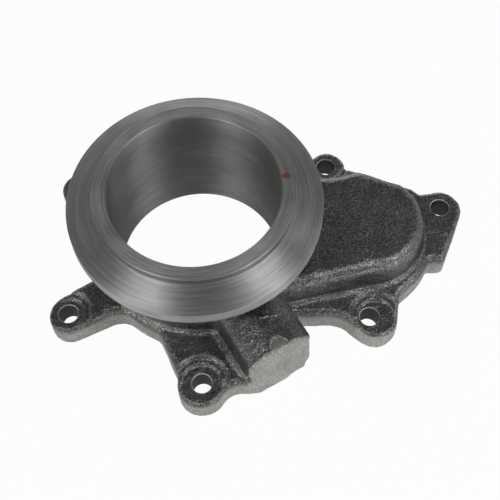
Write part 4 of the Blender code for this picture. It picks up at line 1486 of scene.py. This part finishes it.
@dataclass(frozen=True)
class Camera:
    """The camera of the photograph, in drawing millimetres."""

    target: tuple[float, float, float] = (23.71, 4.78, 0.0)
    distance: float = 467.5
    elevation_deg: float = 60.63
    roll_deg: float = -1.30
    lens: float = 68.66
    sensor: float = 36.0

    def build(self) -> bpy.types.Object:
        """Set the camera up and make it the scene's.

        Returns:
            The camera.
        """
        lift, roll = math.radians(self.elevation_deg), math.radians(self.roll_deg)
        back = Vector((0.0, -math.cos(lift), math.sin(lift)))
        right, up = Vector((1.0, 0.0, 0.0)), Vector((0.0, math.sin(lift), math.cos(lift)))
        right, up = right * math.cos(roll) + up * math.sin(roll), up * math.cos(roll) - right * math.sin(roll)
        target = Vector(self.target) + Vector((*AXIS, 0.0))
        data = bpy.data.cameras.new("camera")
        data.lens = self.lens
        data.sensor_width = self.sensor
        data.clip_start = 0.01
        camera = new_object("camera", data)
        turn = Matrix((right, up, back)).transposed().to_4x4()
        camera.matrix_world = Matrix.Translation((target + back * self.distance) * MM) @ turn
        bpy.context.scene.camera = camera
        return camera


@dataclass(frozen=True)
class Softbox:
    """One large soft lamp, placed by direction and distance from the object."""

    name: str
    azimuth_deg: float
    elevation_deg: float
    distance: float
    size: tuple[float, float]
    power: float

    def build(self) -> bpy.types.Object:
        """Hang the lamp and aim it at the object.

        Returns:
            The lamp.
        """
        data = bpy.data.lights.new(self.name, "AREA")
        data.shape = "RECTANGLE"
        data.size, data.size_y = self.size
        data.energy = self.power
        lamp = new_object(self.name, data)
        turn, lift = math.radians(self.azimuth_deg), math.radians(self.elevation_deg)
        way = Vector((math.cos(turn) * math.cos(lift), math.sin(turn) * math.cos(lift), math.sin(lift)))
        lamp.location = way * self.distance
        lamp.rotation_euler = way.to_track_quat("Z", "Y").to_euler()
        return lamp


@dataclass
class Studio:
    """The white studio: floor, surrounding light, lamps and camera."""

    camera: Camera = field(default_factory=Camera)
    softboxes: tuple[Softbox, ...] = (
        Softbox("low_left_softbox", -135.0, 7.0, 1.2, (0.9, 0.2), 1.6),
        Softbox("low_right_softbox", -45.0, 7.0, 1.2, (0.9, 0.2), 1.75),
        Softbox("high_left_softbox", -141.0, 54.0, 1.2, (0.45, 0.45), 2.15),
        Softbox("high_right_softbox", -25.0, 54.0, 1.2, (0.45, 0.45), 2.4),
        Softbox("back_softbox", 90.0, 12.0, 1.2, (0.8, 0.35), 1.6),
        Softbox("right_softbox", 10.0, 30.0, 1.2, (0.5, 0.4), 0.5),
    )
    horizon: float = 0.6
    horizon_span: tuple[float, float] = (0.05, 0.35)
    front_share: float = 0.6
    front_span: tuple[float, float] = (-0.9, 0.2)
    zenith: float = 0.115
    floor_half: float = 1500.0
    floor_level: float = -0.05
    floor_white: float = 0.85
    floor_roughness: float = 0.9
    floor_glow: float = 0.97
    floor_mirrored: float = 0.2

    def build(self) -> None:
        """Build the studio."""
        scene = bpy.context.scene
        scene.view_settings.view_transform = "Standard"
        self.camera.build()
        for softbox in self.softboxes:
            softbox.build()
        self.build_world()
        self.build_floor()

    def build_world(self) -> None:
        """Make the surroundings: white to the camera, bright at the horizon and dark overhead."""
        world = bpy.data.worlds.new("studio_world")
        bpy.context.scene.world = world
        nodes = Nodes(world)
        nodes.tree.nodes.clear()
        _, y, z = nodes.split(nodes.add("ShaderNodeTexCoord").outputs["Generated"])
        shade = nodes.ramp(z, *self.horizon_span, self.horizon, self.zenith, "SMOOTHSTEP")
        front = nodes.ramp(y, *self.front_span, self.front_share, 1.0)
        mix = nodes.add("ShaderNodeMix")
        nodes.link(nodes.add("ShaderNodeLightPath").outputs["Is Camera Ray"], mix.inputs["Factor"])
        nodes.link(nodes.math("MULTIPLY", shade, front), mix.inputs["A"])
        nodes.link(1.0, mix.inputs["B"])
        light = nodes.add("ShaderNodeBackground")
        nodes.link((1.0, 1.0, 1.0, 1.0), light.inputs["Color"])
        nodes.link(mix.outputs["Result"], light.inputs["Strength"])
        out = nodes.add("ShaderNodeOutputWorld")
        nodes.link(light.outputs["Background"], out.inputs["Surface"])

    def build_floor(self) -> None:
        """Make the white floor, which keeps a soft shadow."""
        half, level = self.floor_half, self.floor_level
        corners = [(-half, -half, level), (half, -half, level), (half, half, level), (-half, half, level)]
        floor = new_piece("floor", np.array(corners), [(0, 1, 2, 3)])
        nodes = Nodes(bpy.data.materials.new("floor_white"))
        nodes.feed("Base Color", (self.floor_white,) * 3 + (1.0,))
        nodes.feed("Roughness", self.floor_roughness)
        nodes.feed("Specular IOR Level", 0.0)
        glow = nodes.add("ShaderNodeEmission")
        glow.inputs["Strength"].default_value = 1.0
        path = nodes.add("ShaderNodeLightPath")
        share = nodes.math("MULTIPLY", path.outputs["Is Camera Ray"], self.floor_glow)
        mirrored = nodes.math("MULTIPLY", path.outputs["Is Glossy Ray"], self.floor_mirrored)
        share = nodes.math("MAXIMUM", share, mirrored)
        mix = nodes.add("ShaderNodeMixShader")
        nodes.link(share, mix.inputs["Fac"])
        nodes.link(nodes.shader.outputs["BSDF"], mix.inputs[1])
        nodes.link(glow.outputs["Emission"], mix.inputs[2])
        nodes.link(mix.outputs["Shader"], nodes.tree.nodes["Material Output"].inputs["Surface"])
        floor.data.materials.append(nodes.owner)


def main() -> None:
    """Build the pieces in order, then the studio."""
    logging.basicConfig(level=logging.INFO, format="%(name)s: %(message)s")
    grid = Grid()
    form = CastForm(grid)
    for maker in (CastBody(form), TurnedPiece(form.end)):
        piece = maker.build()
        maker.dress(piece)
        LOG.info("%s: %d faces", piece.name, len(piece.data.polygons))
    Studio().build()


if __name__ == "__main__":
    main()
